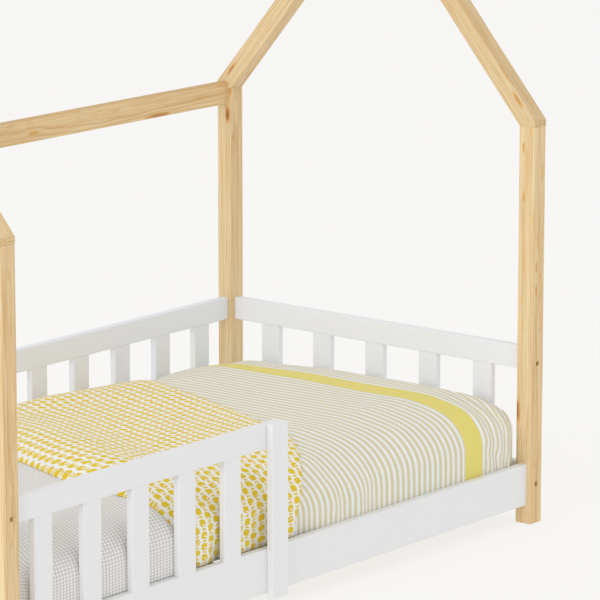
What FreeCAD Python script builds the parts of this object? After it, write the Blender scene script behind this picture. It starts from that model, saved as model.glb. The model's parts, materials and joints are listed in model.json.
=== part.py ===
import FreeCAD, Part
import math
import os

# Children's house frame bed. Millimetres. X runs along the bed (+X is its open right end),
# Y across it (+Y is the back), Z up from the floor. The origin is the middle of the bed's
# outline on the floor.

# Whole bed
bed_long = 1680.0
bed_wide = 870.0
edge_ease = 1.5
overrun = 5.0

# Posts and roof, planed square pine
post_side = 40.0
post_tall = 860.0
roof_pitch = 49.5
rafter_deep = 40.0

# Beams that tie the two gables together
beam_thick = 18.0
beam_tall = 50.0

# Side and end boards
board_thick = 18.0
board_tall = 91.0
board_lift = 40.5

# Guards: a rail on upright slats, and the upright that ends the front guard
rail_tall = 50.0
rail_top = 385.0
slat_wide = 50.0
slat_thick = 15.0
tenon_long = 12.0
tenon_thick = 8.0
tenon_shoulder = 6.0
mortise_play = 1.0
end_slat_count = 5
end_slat_start = 101.0
front_slat_count = 5
front_slat_pitch = 136.5
front_slat_start = 79.0
back_slat_count = 5
back_slat_pitch = 134.0
back_slat_start = 89.0
back_middle_gap = 117.0
guard_reach = 776.0
guard_post_drop = 10.0

# Slatted base on two ledgers
ledger_thick = 20.0
ledger_tall = 30.0
ledger_top = 100.0
base_slat_thick = 15.0
base_slat_wide = 70.0
base_slat_count = 12
base_slat_play = 3.0
base_end_gap = 25.0
tape_wide = 20.0
tape_thick = 1.0
tape_inset = 70.0

# Furniture bolts with barrel nuts. So many small round pieces and bores are drawn with flats:
# head_sides on what shows, bar_sides on what doesn't, screw_sides on the thin screws.
head_sides = 14
bar_sides = 8
screw_sides = 6
bolt_thick = 6.0
bolt_hole = 7.0
head_thick = 10.0
head_hole = 11.0
head_tall = 6.0
head_sink = 9.0
key_sides = 6
key_wide = 5.8
key_deep = 3.0
bolt_long = 66.0
nut_thick = 10.0
nut_long = 14.0
nut_hole = 10.6
nut_centre = 28.0
board_bolt_spread = 25.0
rail_bolt_spread = 10.0
beam_bolt_drop = 14.0

# Dowels and wood screws
dowel_thick = 8.0
dowel_long = 36.0
dowel_in_post = 14.0
heel_dowel_in_post = 20.0
heel_dowel_spread = 10.0
beam_dowel_drop = 14.0
screw_thick = 4.0
screw_head = 8.0
screw_head_tall = 3.0
ledger_screw_long = 32.0
ledger_screw_count = 5
ledger_screw_inset = 80.0
guard_screw_long = 28.0
guard_screw_spread = 12.0
slat_screw_long = 30.0

# Mattress and bedding
mattress_end_gap = 17.0
mattress_side_gap = 13.0
mattress_tall = 165.0
mattress_corner = 45.0
crown_across = 165.0
crown_drop = 92.0
crown_along = 70.0
crown_end_drop = 62.0
corner_angle = 55.0
foot_round_across = 20.0
foot_round_drop = 14.0
cloth_gap = 0.3
sheet_thick = 1.5
sheet_hem_lift = 16.0
coverlet_thick = 2.2
coverlet_start = -60.0
coverlet_hem_lift = 6.0
throw_wide = 578.0
throw_angle = 17.5
throw_middle_x = -11.0
throw_side_thick = 7.0
throw_top_thick = 15.0
throw_back_across = 110.0
throw_back_drop = 60.0
throw_edge_across = 24.0
throw_edge_drop = 10.0
throw_fold_x = -80.0
throw_fold_pitch = 112.0
throw_fold_count = 2
throw_fold_wide = 80.0
throw_fold_deep = 5.0
throw_hem_lift = 10.0
throw_corner_x = 351.0
throw_corner_z = 227.0
throw_hem_angle = 44.0

Vec = FreeCAD.Vector
X_AXIS = Vec(1, 0, 0)
Y_AXIS = Vec(0, 1, 0)
Z_AXIS = Vec(0, 0, 1)

# Lines that several pieces share
half_long = bed_long / 2
half_wide = bed_wide / 2
inner_x = half_long - post_side
inner_y = half_wide - post_side
post_x = half_long - post_side / 2
post_y = half_wide - post_side / 2
slope = math.tan(math.radians(roof_pitch))
slope_rise_share = math.sin(math.radians(roof_pitch))
slope_run_share = math.cos(math.radians(roof_pitch))
heel_tall = (rafter_deep - post_side * slope_rise_share) / slope_run_share
heel_top = post_tall + heel_tall
ridge_top = heel_top + half_wide * slope
ridge_under = post_tall + inner_y * slope
board_top = board_lift + board_tall
board_mid = board_lift + board_tall / 2
rail_low = rail_top - rail_tall
rail_mid = rail_top - rail_tall / 2
slat_top = ledger_top + base_slat_thick
board_inner_x = post_x - board_thick / 2
board_inner_y = post_y - board_thick / 2
mattress_half_long = board_inner_x - mattress_end_gap
mattress_half_wide = board_inner_y - mattress_side_gap
guard_end_x = guard_reach - inner_x
mattress_top = slat_top + cloth_gap + mattress_tall


def block(x0, x1, y0, y1, z0, z1):
    """A box between two opposite corners."""
    return Part.makeBox(x1 - x0, y1 - y0, z1 - z0, Vec(x0, y0, z0))


def ring_points(centre, direction, thick, sides):
    """The corners of a regular outline round centre, square to direction, and the first again."""
    across = Y_AXIS if abs(direction.z) > abs(direction.x) + abs(direction.y) else Z_AXIS
    other = direction.cross(across)
    turns = [math.pi * (2 * k + 1) / sides for k in range(sides)]
    corners = [centre + (across * math.cos(t) + other * math.sin(t)) * (thick / 2) for t in turns]
    return corners + corners[:1]


def rod(base, direction, thick, length, sides=bar_sides):
    """A bar or bore, round but for its narrow flats, that starts at base and runs along direction."""
    end = Part.Face(Part.makePolygon(ring_points(base, direction, thick, sides)))
    return end.extrude(direction * length)


def edges_along(solid, axis):
    """The edges that run along axis, to within a degree or two."""
    same_way = 0.999
    return [e for e in solid.Edges if abs(e.tangentAt(e.FirstParameter).dot(axis)) > same_way]


def eased(solid, axis):
    """Take the sharp arris off every edge that runs along axis, as a planed board has."""
    return solid.makeChamfer(edge_ease, edges_along(solid, axis))


def group(solids):
    """Separate solids that share one node."""
    return Part.makeCompound(solids)


nodes = {}
cuts = {}
bolts = []
nuts = []
dowels = []
screws = []


def cut_from(name, *tools):
    """Remember bores and mortises that the named piece gets when it is finished."""
    cuts.setdefault(name, []).extend(tools)


def bolted(post_name, board_name, on_face, inward, from_mouth):
    """A bolt from a post's outer face into the end of a board, where a barrel nut holds it.

    on_face is the middle of the hole on the post, and inward points to the board. from_mouth
    runs from the mouth of the nut's bore, on a face that doesn't show, to the bolt's axis.
    """
    seat = on_face + inward * post_side
    nut_at = seat + inward * nut_centre
    across = Vec(from_mouth).normalize()
    nut_bore_long = from_mouth.Length + nut_long / 2
    shank_start = on_face + inward * head_sink
    head_start = shank_start - inward * head_tall
    cut_from(post_name, rod(on_face, inward, bolt_hole, post_side))
    cut_from(post_name, rod(on_face, inward, head_hole, head_sink, head_sides))
    cut_from(board_name, rod(seat, inward, bolt_hole, nut_centre + nut_thick))
    cut_from(board_name, rod(nut_at - from_mouth, across, nut_hole, nut_bore_long))
    key = rod(head_start, inward, key_wide, key_deep, key_sides)
    shank = rod(shank_start, inward, bolt_thick, bolt_long)
    head = rod(head_start, inward, head_thick, head_tall, head_sides)
    bolts.append(head.fuse(shank).cut(key))
    nuts.append(rod(nut_at - across * (nut_long / 2), across, nut_thick, nut_long).cut(shank))


def dowelled(first, second, at, direction, in_first):
    """A dowel that crosses the joint face at a point, in_first of it in the first piece."""
    start = at - direction * in_first
    bore = rod(start, direction, dowel_thick, dowel_long)
    cut_from(first, bore)
    cut_from(second, bore)
    dowels.append(bore)


def screwed(pieces, head_at, direction, length):
    """A wood screw whose head lies flush in the first of the pieces."""
    head = rod(head_at, direction, screw_head, screw_head_tall, screw_sides)
    screw = head.fuse(rod(head_at, direction, screw_thick, length, screw_sides))
    for piece in pieces:
        cut_from(piece, screw)
    screws.append(screw)


def post_name(sx, sy):
    """Name of the post on the given side: sx -1 left, +1 right; sy -1 front, +1 back."""
    return "post_" + ("front" if sy < 0 else "back") + ("_left" if sx < 0 else "_right")


def rafter_name(sx, sy):
    """Name of the rafter that stands on that post."""
    return post_name(sx, sy).replace("post", "rafter")


def end_name(sx):
    return "left" if sx < 0 else "right"


def side_name(sy):
    return "front" if sy < 0 else "back"


SIDES = (-1, 1)
CORNERS = [(sx, sy) for sx in SIDES for sy in SIDES]


# Posts: square, with every long edge eased
for sx, sy in CORNERS:
    x = sx * post_x
    y = sy * post_y
    h = post_side / 2
    nodes[post_name(sx, sy)] = eased(block(x - h, x + h, y - h, y + h, 0, post_tall), Z_AXIS)


# Rafters: a level seat on the post, a plumb heel flush with its outer face, and a half lap
# at the ridge, where each rafter keeps half its thickness
def rafter_outline(sy):
    """The rafter's side view, from its seat up to the far side of the ridge."""
    far_y = (heel_tall + (half_wide - inner_y) * slope) / (2 * slope)
    far_z = ridge_top - far_y * slope
    corners = ((inner_y, post_tall), (half_wide, post_tall), (half_wide, heel_top), (0, ridge_top),
               (-far_y, far_z))
    points = [Vec(0, sy * y, z) for y, z in corners]
    return Part.Face(Part.makePolygon(points + points[:1]))


def lap_outline():
    """The lozenge that both rafters share at the ridge."""
    return rafter_outline(-1).common(rafter_outline(1)).Faces[0]


def rafter(sx, sy):
    """One rafter; at the ridge the front one keeps the outer half, the back one the inner."""
    body = rafter_outline(sy).extrude(Vec(post_side, 0, 0))
    body.translate(Vec(sx * post_x - post_side / 2, 0, 0))
    run = Vec(0, -sy, slope).normalize()
    body = eased(body, run)
    away = -sx if sy < 0 else sx
    lap = lap_outline().extrude(Vec(away * post_side / 2, 0, 0))
    lap.translate(Vec(sx * post_x, 0, 0))
    return body.cut(lap)


for sx, sy in CORNERS:
    nodes[rafter_name(sx, sy)] = rafter(sx, sy)
    for step in SIDES:
        at = Vec(sx * post_x, sy * post_y + step * heel_dowel_spread, post_tall)
        dowelled(post_name(sx, sy), rafter_name(sx, sy), at, Z_AXIS, heel_dowel_in_post)


# Beams along the bed: one behind at the eaves, one under the ridge. The front has none. Their
# nuts go in from below, so no bore shows on a face.
beam_top = {"eave_beam_back": heel_top, "ridge_beam": ridge_top - beam_thick / 2 * slope}
beam_y = {"eave_beam_back": post_y, "ridge_beam": 0}
for name in beam_top:
    y = beam_y[name]
    z = beam_top[name]
    beam = block(-inner_x, inner_x, y - beam_thick / 2, y + beam_thick / 2, z - beam_tall, z)
    nodes[name] = eased(beam, X_AXIS)

for sx in SIDES:
    inward = Vec(-sx, 0, 0)
    eave_bolt = Vec(sx * half_long, post_y, post_tall - beam_bolt_drop)
    eave_rise = Vec(0, 0, eave_bolt.z - beam_top["eave_beam_back"] + beam_tall)
    bolted(post_name(sx, 1), "eave_beam_back", eave_bolt, inward, eave_rise)
    eave_dowel = Vec(sx * inner_x, post_y, post_tall - beam_bolt_drop - beam_dowel_drop)
    dowelled(post_name(sx, 1), "eave_beam_back", eave_dowel, inward, dowel_in_post)
    ridge_bolt = Vec(sx * half_long, 0, (ridge_top + ridge_under) / 2)
    ridge_rise = Vec(0, 0, ridge_bolt.z - beam_top["ridge_beam"] + beam_tall)
    bolted(rafter_name(sx, -1), "ridge_beam", ridge_bolt, inward, ridge_rise)
    lap_bore = rod(ridge_bolt, inward, bolt_hole, post_side)
    cut_from(rafter_name(sx, 1), lap_bore)


# Boards and rails. Those along the bed end on the posts' X faces, those across it on their
# Y faces, all centred on the posts.
def long_board(sy, x_end, low, tall):
    """A board along the front or back, from the left post to x_end."""
    y = sy * post_y
    return eased(block(-inner_x, x_end, y - board_thick / 2, y + board_thick / 2, low, low + tall), X_AXIS)


def cross_board(sx, low, tall):
    """A board across one end, from post to post."""
    x = sx * post_x
    return eased(block(x - board_thick / 2, x + board_thick / 2, -inner_y, inner_y, low, low + tall), Y_AXIS)


for sy in SIDES:
    nodes["side_board_" + side_name(sy)] = long_board(sy, inner_x, board_lift, board_tall)
nodes["guard_rail_back"] = long_board(1, inner_x, rail_low, rail_tall)
nodes["guard_rail_front"] = long_board(-1, guard_end_x, rail_low, rail_tall)
for sx in SIDES:
    nodes["end_board_" + end_name(sx)] = cross_board(sx, board_lift, board_tall)
    nodes["guard_rail_" + end_name(sx)] = cross_board(sx, rail_low, rail_tall)


def fix_long_end(sx, sy, board, bolt_heights, dowel_heights, low=None):
    """Bolt and dowel one end of a board that runs along the bed.

    The nuts go in from the board's inner face, or from below where low gives its underside.
    """
    inward = Vec(-sx, 0, 0)
    for z in bolt_heights:
        from_mouth = Vec(0, sy * board_thick / 2, 0) if low is None else Vec(0, 0, z - low)
        bolted(post_name(sx, sy), board, Vec(sx * half_long, sy * post_y, z), inward, from_mouth)
    for z in dowel_heights:
        dowelled(post_name(sx, sy), board, Vec(sx * inner_x, sy * post_y, z), inward, dowel_in_post)


def fix_cross_end(sx, sy, board, bolt_heights, dowel_heights, low=None):
    """Bolt and dowel one end of a board that runs across the bed, in the same way."""
    inward = Vec(0, -sy, 0)
    for z in bolt_heights:
        from_mouth = Vec(sx * board_thick / 2, 0, 0) if low is None else Vec(0, 0, z - low)
        bolted(post_name(sx, sy), board, Vec(sx * post_x, sy * half_wide, z), inward, from_mouth)
    for z in dowel_heights:
        dowelled(post_name(sx, sy), board, Vec(sx * post_x, sy * inner_y, z), inward, dowel_in_post)


board_pair = (board_mid - board_bolt_spread, board_mid + board_bolt_spread)
rail_high_bolt = rail_mid + rail_bolt_spread
rail_low_bolt = rail_mid - rail_bolt_spread
for sx, sy in CORNERS:
    fix_long_end(sx, sy, "side_board_" + side_name(sy), board_pair, ())
    fix_cross_end(sx, sy, "end_board_" + end_name(sx), (board_mid,), board_pair)
    fix_cross_end(sx, sy, "guard_rail_" + end_name(sx), (rail_low_bolt,), (rail_high_bolt,), rail_low)
    if sy > 0 or sx < 0:
        fix_long_end(sx, sy, "guard_rail_" + side_name(sy), (rail_high_bolt,), (rail_low_bolt,), rail_low)


# Upright guard slats, each with a stub tenon in the rail and in the board
def slat_parts(along):
    """One slat standing at the origin of its guard, and the mortise it needs."""
    half_w = slat_wide / 2
    half_t = slat_thick / 2
    tongue_w = half_w - tenon_shoulder
    tongue_t = tenon_thick / 2
    low = board_top - tenon_long
    high = rail_low + tenon_long
    body = eased(block(-half_w, half_w, -half_t, half_t, board_top, rail_low), Z_AXIS)
    tongue = block(-tongue_w, tongue_w, -tongue_t, tongue_t, low, high)
    mortise = block(-tongue_w, tongue_w, -tongue_t, tongue_t, low - mortise_play, high + mortise_play)
    slat = body.fuse(tongue).removeSplitter()
    if along == "y":
        for shape in (slat, mortise):
            shape.rotate(Vec(0, 0, 0), Z_AXIS, 90)
    return slat, mortise


def guard_slats(name, places, along, fixed, rail, board):
    """A row of slats at the given places between a rail and the board under it."""
    slat, mortise = slat_parts(along)
    row = []
    for place in places:
        shift = Vec(place, fixed, 0) if along == "x" else Vec(fixed, place, 0)
        row.append(slat.translated(shift))
        pocket = mortise.translated(shift)
        cut_from(rail, pocket)
        cut_from(board, pocket)
    nodes[name] = group(row)


front_places = [-inner_x + front_slat_start + front_slat_pitch * k for k in range(front_slat_count)]
back_half = [inner_x - back_slat_start - back_slat_pitch * k for k in range(back_slat_count)]
back_half.append(back_middle_gap / 2)
back_places = sorted(back_half + [-x for x in back_half])
end_slat_span = 2 * (inner_y - end_slat_start)
end_places = [end_slat_span * (k / (end_slat_count - 1) - 1 / 2) for k in range(end_slat_count)]
guard_slats("guard_slats_front", front_places, "x", -post_y, "guard_rail_front", "side_board_front")
guard_slats("guard_slats_back", back_places, "x", post_y, "guard_rail_back", "side_board_back")
for sx in SIDES:
    end = end_name(sx)
    guard_slats("guard_slats_" + end, end_places, "y", sx * post_x, "guard_rail_" + end, "end_board_" + end)


# The upright that ends the front guard stands on the board's front face, and is screwed on
# from inside the bed
board_front_y = -post_y - board_thick / 2
upright = block(guard_end_x - slat_wide, guard_end_x, board_front_y - slat_thick, board_front_y,
                board_lift - guard_post_drop, rail_top)
nodes["guard_post_front"] = eased(upright, Z_AXIS)
for board, z_mid in (("guard_rail_front", rail_mid), ("side_board_front", board_mid)):
    for step in SIDES:
        side_step = step * guard_screw_spread
        head_at = Vec(guard_end_x - slat_wide / 2 + side_step, -board_inner_y, z_mid + side_step)
        screwed((board, "guard_post_front"), head_at, -Y_AXIS, guard_screw_long)


# Slatted base: two ledgers screwed inside the side boards, loose slats on two tapes
for sy in SIDES:
    face = sy * board_inner_y
    inside = face - sy * ledger_thick
    near = min(face, inside)
    strip = block(-inner_x, inner_x, near, near + ledger_thick, ledger_top - ledger_tall, ledger_top)
    ledger = "ledger_" + side_name(sy)
    nodes[ledger] = eased(strip, X_AXIS)
    run = 2 * (inner_x - ledger_screw_inset)
    for k in range(ledger_screw_count):
        x = -inner_x + ledger_screw_inset + run * k / (ledger_screw_count - 1)
        head_at = Vec(x, inside, ledger_top - ledger_tall / 2)
        screwed((ledger, "side_board_" + side_name(sy)), head_at, Vec(0, sy, 0), ledger_screw_long)

base_half = board_inner_y - base_slat_play
base_first = -inner_x + base_end_gap
base_step = (2 * (inner_x - base_end_gap) - base_slat_wide) / (base_slat_count - 1)
base_slats = []
for k in range(base_slat_count):
    x = base_first + base_step * k
    base_slat = block(x, x + base_slat_wide, -base_half, base_half, ledger_top, slat_top)
    base_slats.append(eased(base_slat, Y_AXIS))
    if k in (0, base_slat_count - 1):
        for sy in SIDES:
            head_at = Vec(x + base_slat_wide / 2, sy * (board_inner_y - ledger_thick / 2), slat_top)
            screwed(("base_slats", "ledger_" + side_name(sy)), head_at, -Z_AXIS, slat_screw_long)
nodes["base_slats"] = group(base_slats)
for sy in SIDES:
    y = sy * (board_inner_y - ledger_thick - tape_inset)
    nodes["base_tape_" + side_name(sy)] = block(base_first, -base_first, y - tape_wide / 2, y + tape_wide / 2,
                                                ledger_top - tape_thick, ledger_top)


# Mattress and bedding: one crowned form, and thin covers that fit over it
def rounded_corner(side, half, level, across, down, place):
    """Two tangent arcs that turn an upright side into a level top (down > 0) or foot.

    The corner starts on the side at level and ends level, across inwards and down further
    up or below. The first arc turns through corner_angle, the second through the rest.
    """
    turn = math.radians(corner_angle)
    height = abs(down)
    growth = (across - height) / (math.cos(turn) + math.sin(turn) - 1)
    tight = across - growth * math.cos(turn)
    slack = tight + growth
    sign = math.copysign(1, down)

    def on_arc(middle_x, middle_z, radius, angle):
        x = middle_x + radius * math.cos(angle)
        return place(side * (half - across + x), level + sign * (middle_z + radius * math.sin(angle)))

    first = [on_arc(across - tight, 0, tight, turn * k / 2) for k in range(3)]
    rest = math.pi / 2 - turn
    second = [on_arc(0, height - slack, slack, turn + rest * k / 2) for k in range(3)]
    return [Part.Arc(*first).toShape(), Part.Arc(*second).toShape()]


def crowned_outline(half, low, high, shoulders, foot, place):
    """A flat-topped outline with a large soft shoulder on each side, and rounded feet if it has any.

    shoulders and foot give how far each corner runs across and down; place turns (distance
    across, height) into a point in space.
    """
    foot_in, foot_rise = foot
    edges = [Part.makeLine(place(foot_in - half, low), place(half - foot_in, low))]
    for side, (shoulder_in, shoulder_drop) in zip(SIDES, shoulders):
        spring = high - shoulder_drop
        edges.append(Part.makeLine(place(side * half, low + foot_rise), place(side * half, spring)))
        edges += rounded_corner(side, half, spring, shoulder_in, shoulder_drop, place)
        if foot_in:
            edges += rounded_corner(side, half, low + foot_rise, foot_in, -foot_rise, place)
    left_in, right_in = (across for across, down in shoulders)
    edges.append(Part.makeLine(place(left_in - half, high), place(half - right_in, high)))
    return Part.Face(Part.Wire(Part.__sortEdges__(edges)))


def bed_form(grow, rise, low, foot=(0, 0), back=(crown_across, crown_drop)):
    """The mattress's crowned form, grown by grow at its sides and by rise at its top."""
    half_l = mattress_half_long + grow
    half_w = mattress_half_wide + grow
    high = mattress_top + rise
    reach = half_l + overrun
    span = half_w + overrun
    side_shoulders = ((crown_across, crown_drop + rise), (back[0], back[1] + rise))
    end_shoulders = ((crown_along, crown_end_drop + rise),) * 2
    across = crowned_outline(half_w, low, high, side_shoulders, foot,
                             lambda a, z: Vec(-reach, a, z)).extrude(Vec(2 * reach, 0, 0))
    along = crowned_outline(half_l, low, high, end_shoulders, foot,
                            lambda a, z: Vec(a, -span, z)).extrude(Vec(0, 2 * span, 0))
    plan = block(-half_l, half_l, -half_w, half_w, low, high + overrun)
    plan = plan.makeFillet(mattress_corner + grow, edges_along(plan, Z_AXIS))
    return across.common(along).common(plan)


def cover(inner, outer, rise, hem):
    """A cloth over the mattress: its inside and outside are the grown crowned form."""
    return bed_form(outer, rise, hem).cut(bed_form(inner, inner, hem - overrun))


mattress_low = slat_top + cloth_gap
nodes["mattress"] = bed_form(0, 0, mattress_low, (foot_round_across, foot_round_drop))

sheet_in = cloth_gap
sheet_out = sheet_in + sheet_thick
nodes["fitted_sheet"] = cover(sheet_in, sheet_out, sheet_out, slat_top + sheet_hem_lift)

coverlet_in = sheet_out + cloth_gap
coverlet_out = coverlet_in + coverlet_thick
whole_coverlet = cover(coverlet_in, coverlet_out, coverlet_out, slat_top + coverlet_hem_lift)
coverlet_part = block(coverlet_start, half_long, -half_wide, half_wide, 0, post_tall)
nodes["striped_coverlet"] = whole_coverlet.common(coverlet_part)


# The throw lies askew over the bed's middle. It is thick and soft on top, fuller at the back,
# with its long edges rounded over, and it falls in shallow folds at the front and the back,
# where its hems run down slantwise.
throw_low = slat_top + throw_hem_lift
throw_high = mattress_top + throw_top_thick


def throw_band():
    """The slab of space, rounded along its two top edges and turned about Z, that holds the throw."""
    edge = (throw_edge_across, throw_edge_drop)
    outline = crowned_outline(throw_wide / 2, throw_low, throw_high, (edge, edge), (0, 0),
                              lambda a, z: Vec(a, -bed_long, z))
    band = outline.extrude(Vec(0, 2 * bed_long, 0))
    band.rotate(Vec(0, 0, 0), Z_AXIS, -throw_angle)
    return band.translated(Vec(throw_middle_x, 0, 0))


def below_hem(sy):
    """The space under the slanting hem at the front (sy -1) or the back (sy +1)."""
    reach = bed_long
    fall = math.tan(math.radians(throw_hem_angle)) * reach
    x = throw_middle_x + sy * throw_corner_x
    corners = ((x + sy * reach, throw_corner_z + fall), (x - sy * reach, throw_corner_z - fall),
               (x + sy * reach, throw_corner_z - fall))
    points = [Vec(px, 0, pz) for px, pz in corners]
    return Part.Face(Part.makePolygon(points + points[:1])).extrude(Vec(0, sy * bed_wide, 0))


def fold_valleys(sy, face_y):
    """Round upright grooves between the folds of the hanging cloth, whose face is at face_y."""
    radius = (throw_fold_wide ** 2 / 4 + throw_fold_deep ** 2) / (2 * throw_fold_deep)
    valleys = []
    for k in range(throw_fold_count):
        from_middle = throw_fold_x - throw_fold_pitch * k - throw_middle_x
        middle = Vec(throw_middle_x - sy * from_middle, sy * (face_y + radius - throw_fold_deep), 0)
        valleys.append(Part.makeCylinder(radius, throw_high, middle, Z_AXIS))
    return valleys


throw_in = coverlet_out + cloth_gap
throw_out = throw_in + throw_side_thick
throw_outer = bed_form(throw_out, throw_top_thick, throw_low, back=(throw_back_across, throw_back_drop))
throw = throw_outer.cut(bed_form(throw_in, throw_in, throw_low - overrun)).common(throw_band())
throw_cuts = [below_hem(sy) for sy in SIDES]
for sy in SIDES:
    throw_cuts += fold_valleys(sy, mattress_half_wide + throw_out)
nodes["print_throw"] = throw.cut(throw_cuts)


# Fasteners, one node for each kind
nodes["frame_bolts"] = group(bolts)
nodes["barrel_nuts"] = group(nuts)
nodes["joint_dowels"] = group(dowels)
nodes["wood_screws"] = group(screws)

os.makedirs("parts", exist_ok=True)
for name, shape in nodes.items():
    tools = cuts.get(name)
    solid = shape.cut(tools) if tools else shape
    solid.exportStep("parts/" + name + ".step")
    state = "valid" if solid.isValid() else "BROKEN"
    print(name, len(solid.Solids), "solids", round(solid.Volume / 1000, 1), "cm3", state)
print(len(nodes), "nodes; ridge at", round(ridge_top, 1), "mattress top", round(mattress_top, 1))
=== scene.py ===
# %% [markdown]
# House frame bed. A low bed for a small child: a pine house frame, white slatted guards,
# and a mattress dressed with a checked sheet, a striped coverlet and a printed throw.
# The timber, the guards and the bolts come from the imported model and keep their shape.
# This script gives them their finishes and makes the soft goods, because cloth and foam
# need surfaces that swell, hang and crease, which a construction model doesn't hold.

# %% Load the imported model
import json
import math

import bpy
import numpy as np
from mathutils import Euler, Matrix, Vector

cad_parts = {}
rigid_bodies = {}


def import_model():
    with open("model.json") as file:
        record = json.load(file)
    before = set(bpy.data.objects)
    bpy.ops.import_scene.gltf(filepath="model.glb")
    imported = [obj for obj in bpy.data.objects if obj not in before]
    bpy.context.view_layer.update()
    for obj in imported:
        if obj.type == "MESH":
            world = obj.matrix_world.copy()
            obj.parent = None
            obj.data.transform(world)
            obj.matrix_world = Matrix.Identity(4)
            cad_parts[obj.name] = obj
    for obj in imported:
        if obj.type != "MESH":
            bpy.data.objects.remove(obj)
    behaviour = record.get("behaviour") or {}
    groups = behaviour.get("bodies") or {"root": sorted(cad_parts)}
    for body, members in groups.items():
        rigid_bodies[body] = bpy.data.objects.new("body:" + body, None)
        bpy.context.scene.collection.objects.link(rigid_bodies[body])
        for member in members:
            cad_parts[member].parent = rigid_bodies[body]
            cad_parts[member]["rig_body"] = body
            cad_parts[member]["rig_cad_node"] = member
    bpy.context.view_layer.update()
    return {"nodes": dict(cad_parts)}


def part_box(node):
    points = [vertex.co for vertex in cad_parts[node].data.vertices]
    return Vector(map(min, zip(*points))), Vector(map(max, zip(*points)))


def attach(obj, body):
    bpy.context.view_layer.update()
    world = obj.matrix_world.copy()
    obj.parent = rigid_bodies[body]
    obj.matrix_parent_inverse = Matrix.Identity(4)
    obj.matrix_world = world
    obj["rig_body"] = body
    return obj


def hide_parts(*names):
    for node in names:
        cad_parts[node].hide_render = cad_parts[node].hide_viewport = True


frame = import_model()
nodes = frame["nodes"]

# %% [markdown]
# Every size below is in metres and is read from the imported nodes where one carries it.
# The mattress gives the cloths their length and width, and the front board and the guard
# say how far a cloth may swell before it meets timber.

# %% Sizes that the soft goods follow
MM = 0.001
mattress_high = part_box("mattress")[1]
sheet_low, sheet_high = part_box("fitted_sheet")
coverlet_low, coverlet_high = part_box("striped_coverlet")
throw_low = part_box("print_throw")[0]
board_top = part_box("side_board_front")[1].z
board_inner = -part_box("side_board_front")[1].y
SLAT_INNER = -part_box("guard_slats_front")[1].y
CLEAR = 0.4 * MM
print("mattress top", round(mattress_high.z, 4), "board top", round(board_top, 4))

# %% [markdown]
# A mesh made from numpy arrays takes two steps. The points and the faces are worked out as
# whole arrays, and foreach_set copies them into Blender at once. A grid of points needs
# only its face pattern, which is the same for every grid.


# %% Helpers that turn grids of points into meshes
def grid_faces(rows, columns):
    """Quads of a grid of rows x columns points, counted row by row."""
    corner = np.arange((rows - 1) * columns).reshape(rows - 1, columns)[:, :-1]
    return np.stack([corner, corner + columns, corner + columns + 1, corner + 1], -1).reshape(-1, 4)


def mesh_piece(name, points, faces, uv=None, smooth=True):
    """A mesh object at the origin from points (n, 3), faces (m, 4) and one UV pair per face corner."""
    mesh = bpy.data.meshes.new(name)
    mesh.vertices.add(len(points))
    mesh.vertices.foreach_set("co", np.asarray(points, np.float32).ravel())
    mesh.loops.add(faces.size)
    mesh.loops.foreach_set("vertex_index", faces.ravel().astype(np.int32))
    mesh.polygons.add(len(faces))
    mesh.polygons.foreach_set("loop_start", np.arange(0, faces.size, faces.shape[1], dtype=np.int32))
    mesh.update(calc_edges=True)
    if uv is not None:
        layer = mesh.uv_layers.new(name="cloth")
        layer.data.foreach_set("uv", np.asarray(uv, np.float32).reshape(-1))
    mesh.polygons.foreach_set("use_smooth", np.full(len(faces), smooth))
    mesh.validate()
    piece = bpy.data.objects.new(name, mesh)
    bpy.context.scene.collection.objects.link(piece)
    print(name, len(points), "points", len(faces), "faces")
    return piece


def closed_sheet(name, outer, inner, outer_uv, face_uv=None, hem=None):
    """A closed cloth: the grid outer, the grid inner turned over, and a rim between their edges.

    outer_uv gives one UV pair per grid point. face_uv, where given, is a pair of arrays: a second
    UV per point, and for each face whether it takes that second one. hem, where given, is the
    distance of each grid point from the nearest hem, kept on the mesh for the seam's pattern.
    """
    rows, columns = outer.shape[:2]
    count = rows * columns
    points = np.concatenate([outer.reshape(-1, 3), inner.reshape(-1, 3)])
    top = grid_faces(rows, columns)
    index = np.arange(count).reshape(rows, columns)
    edge = np.concatenate([index[:-1, 0], index[-1, :-1], index[:0:-1, -1], index[0, :0:-1]])
    after = np.roll(edge, -1)
    rim = np.stack([edge, edge + count, after + count, after], -1)
    faces = np.concatenate([top, top[:, ::-1] + count, rim])
    flat = np.tile(outer_uv.reshape(-1, 2), (2, 1))
    uv = flat[faces]
    if face_uv is not None:
        second, takes = face_uv
        other = np.tile(second.reshape(-1, 2), (2, 1))[faces]
        chosen = np.concatenate([takes, takes, np.zeros(len(rim), bool)])
        uv[chosen] = other[chosen]
    piece = mesh_piece(name, points, faces, uv)
    if hem is not None:
        layer = piece.data.attributes.new("hem", "FLOAT", "POINT")
        layer.data.foreach_set("value", np.tile(hem.ravel(), 2).astype(np.float32))
    return piece


def grid_normals(points):
    """Unit normals of a grid of points, from the cross product of its two directions."""
    across = np.gradient(points, axis=0)
    along = np.gradient(points, axis=1)
    normal = np.cross(across, along)
    return normal / np.maximum(np.linalg.norm(normal, axis=-1, keepdims=True), 1e-9)


def smooth_step(low, high, value):
    """0 below low, 1 above high, and the curve 3t^2 - 2t^3 between them."""
    t = np.clip((value - low) / (high - low), 0, 1)
    return t * t * (3 - 2 * t)


def bell(value, middle, width):
    """A bump of height 1 at middle, that falls to a third within width."""
    return np.exp(-((value - middle) / width) ** 2)


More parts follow.
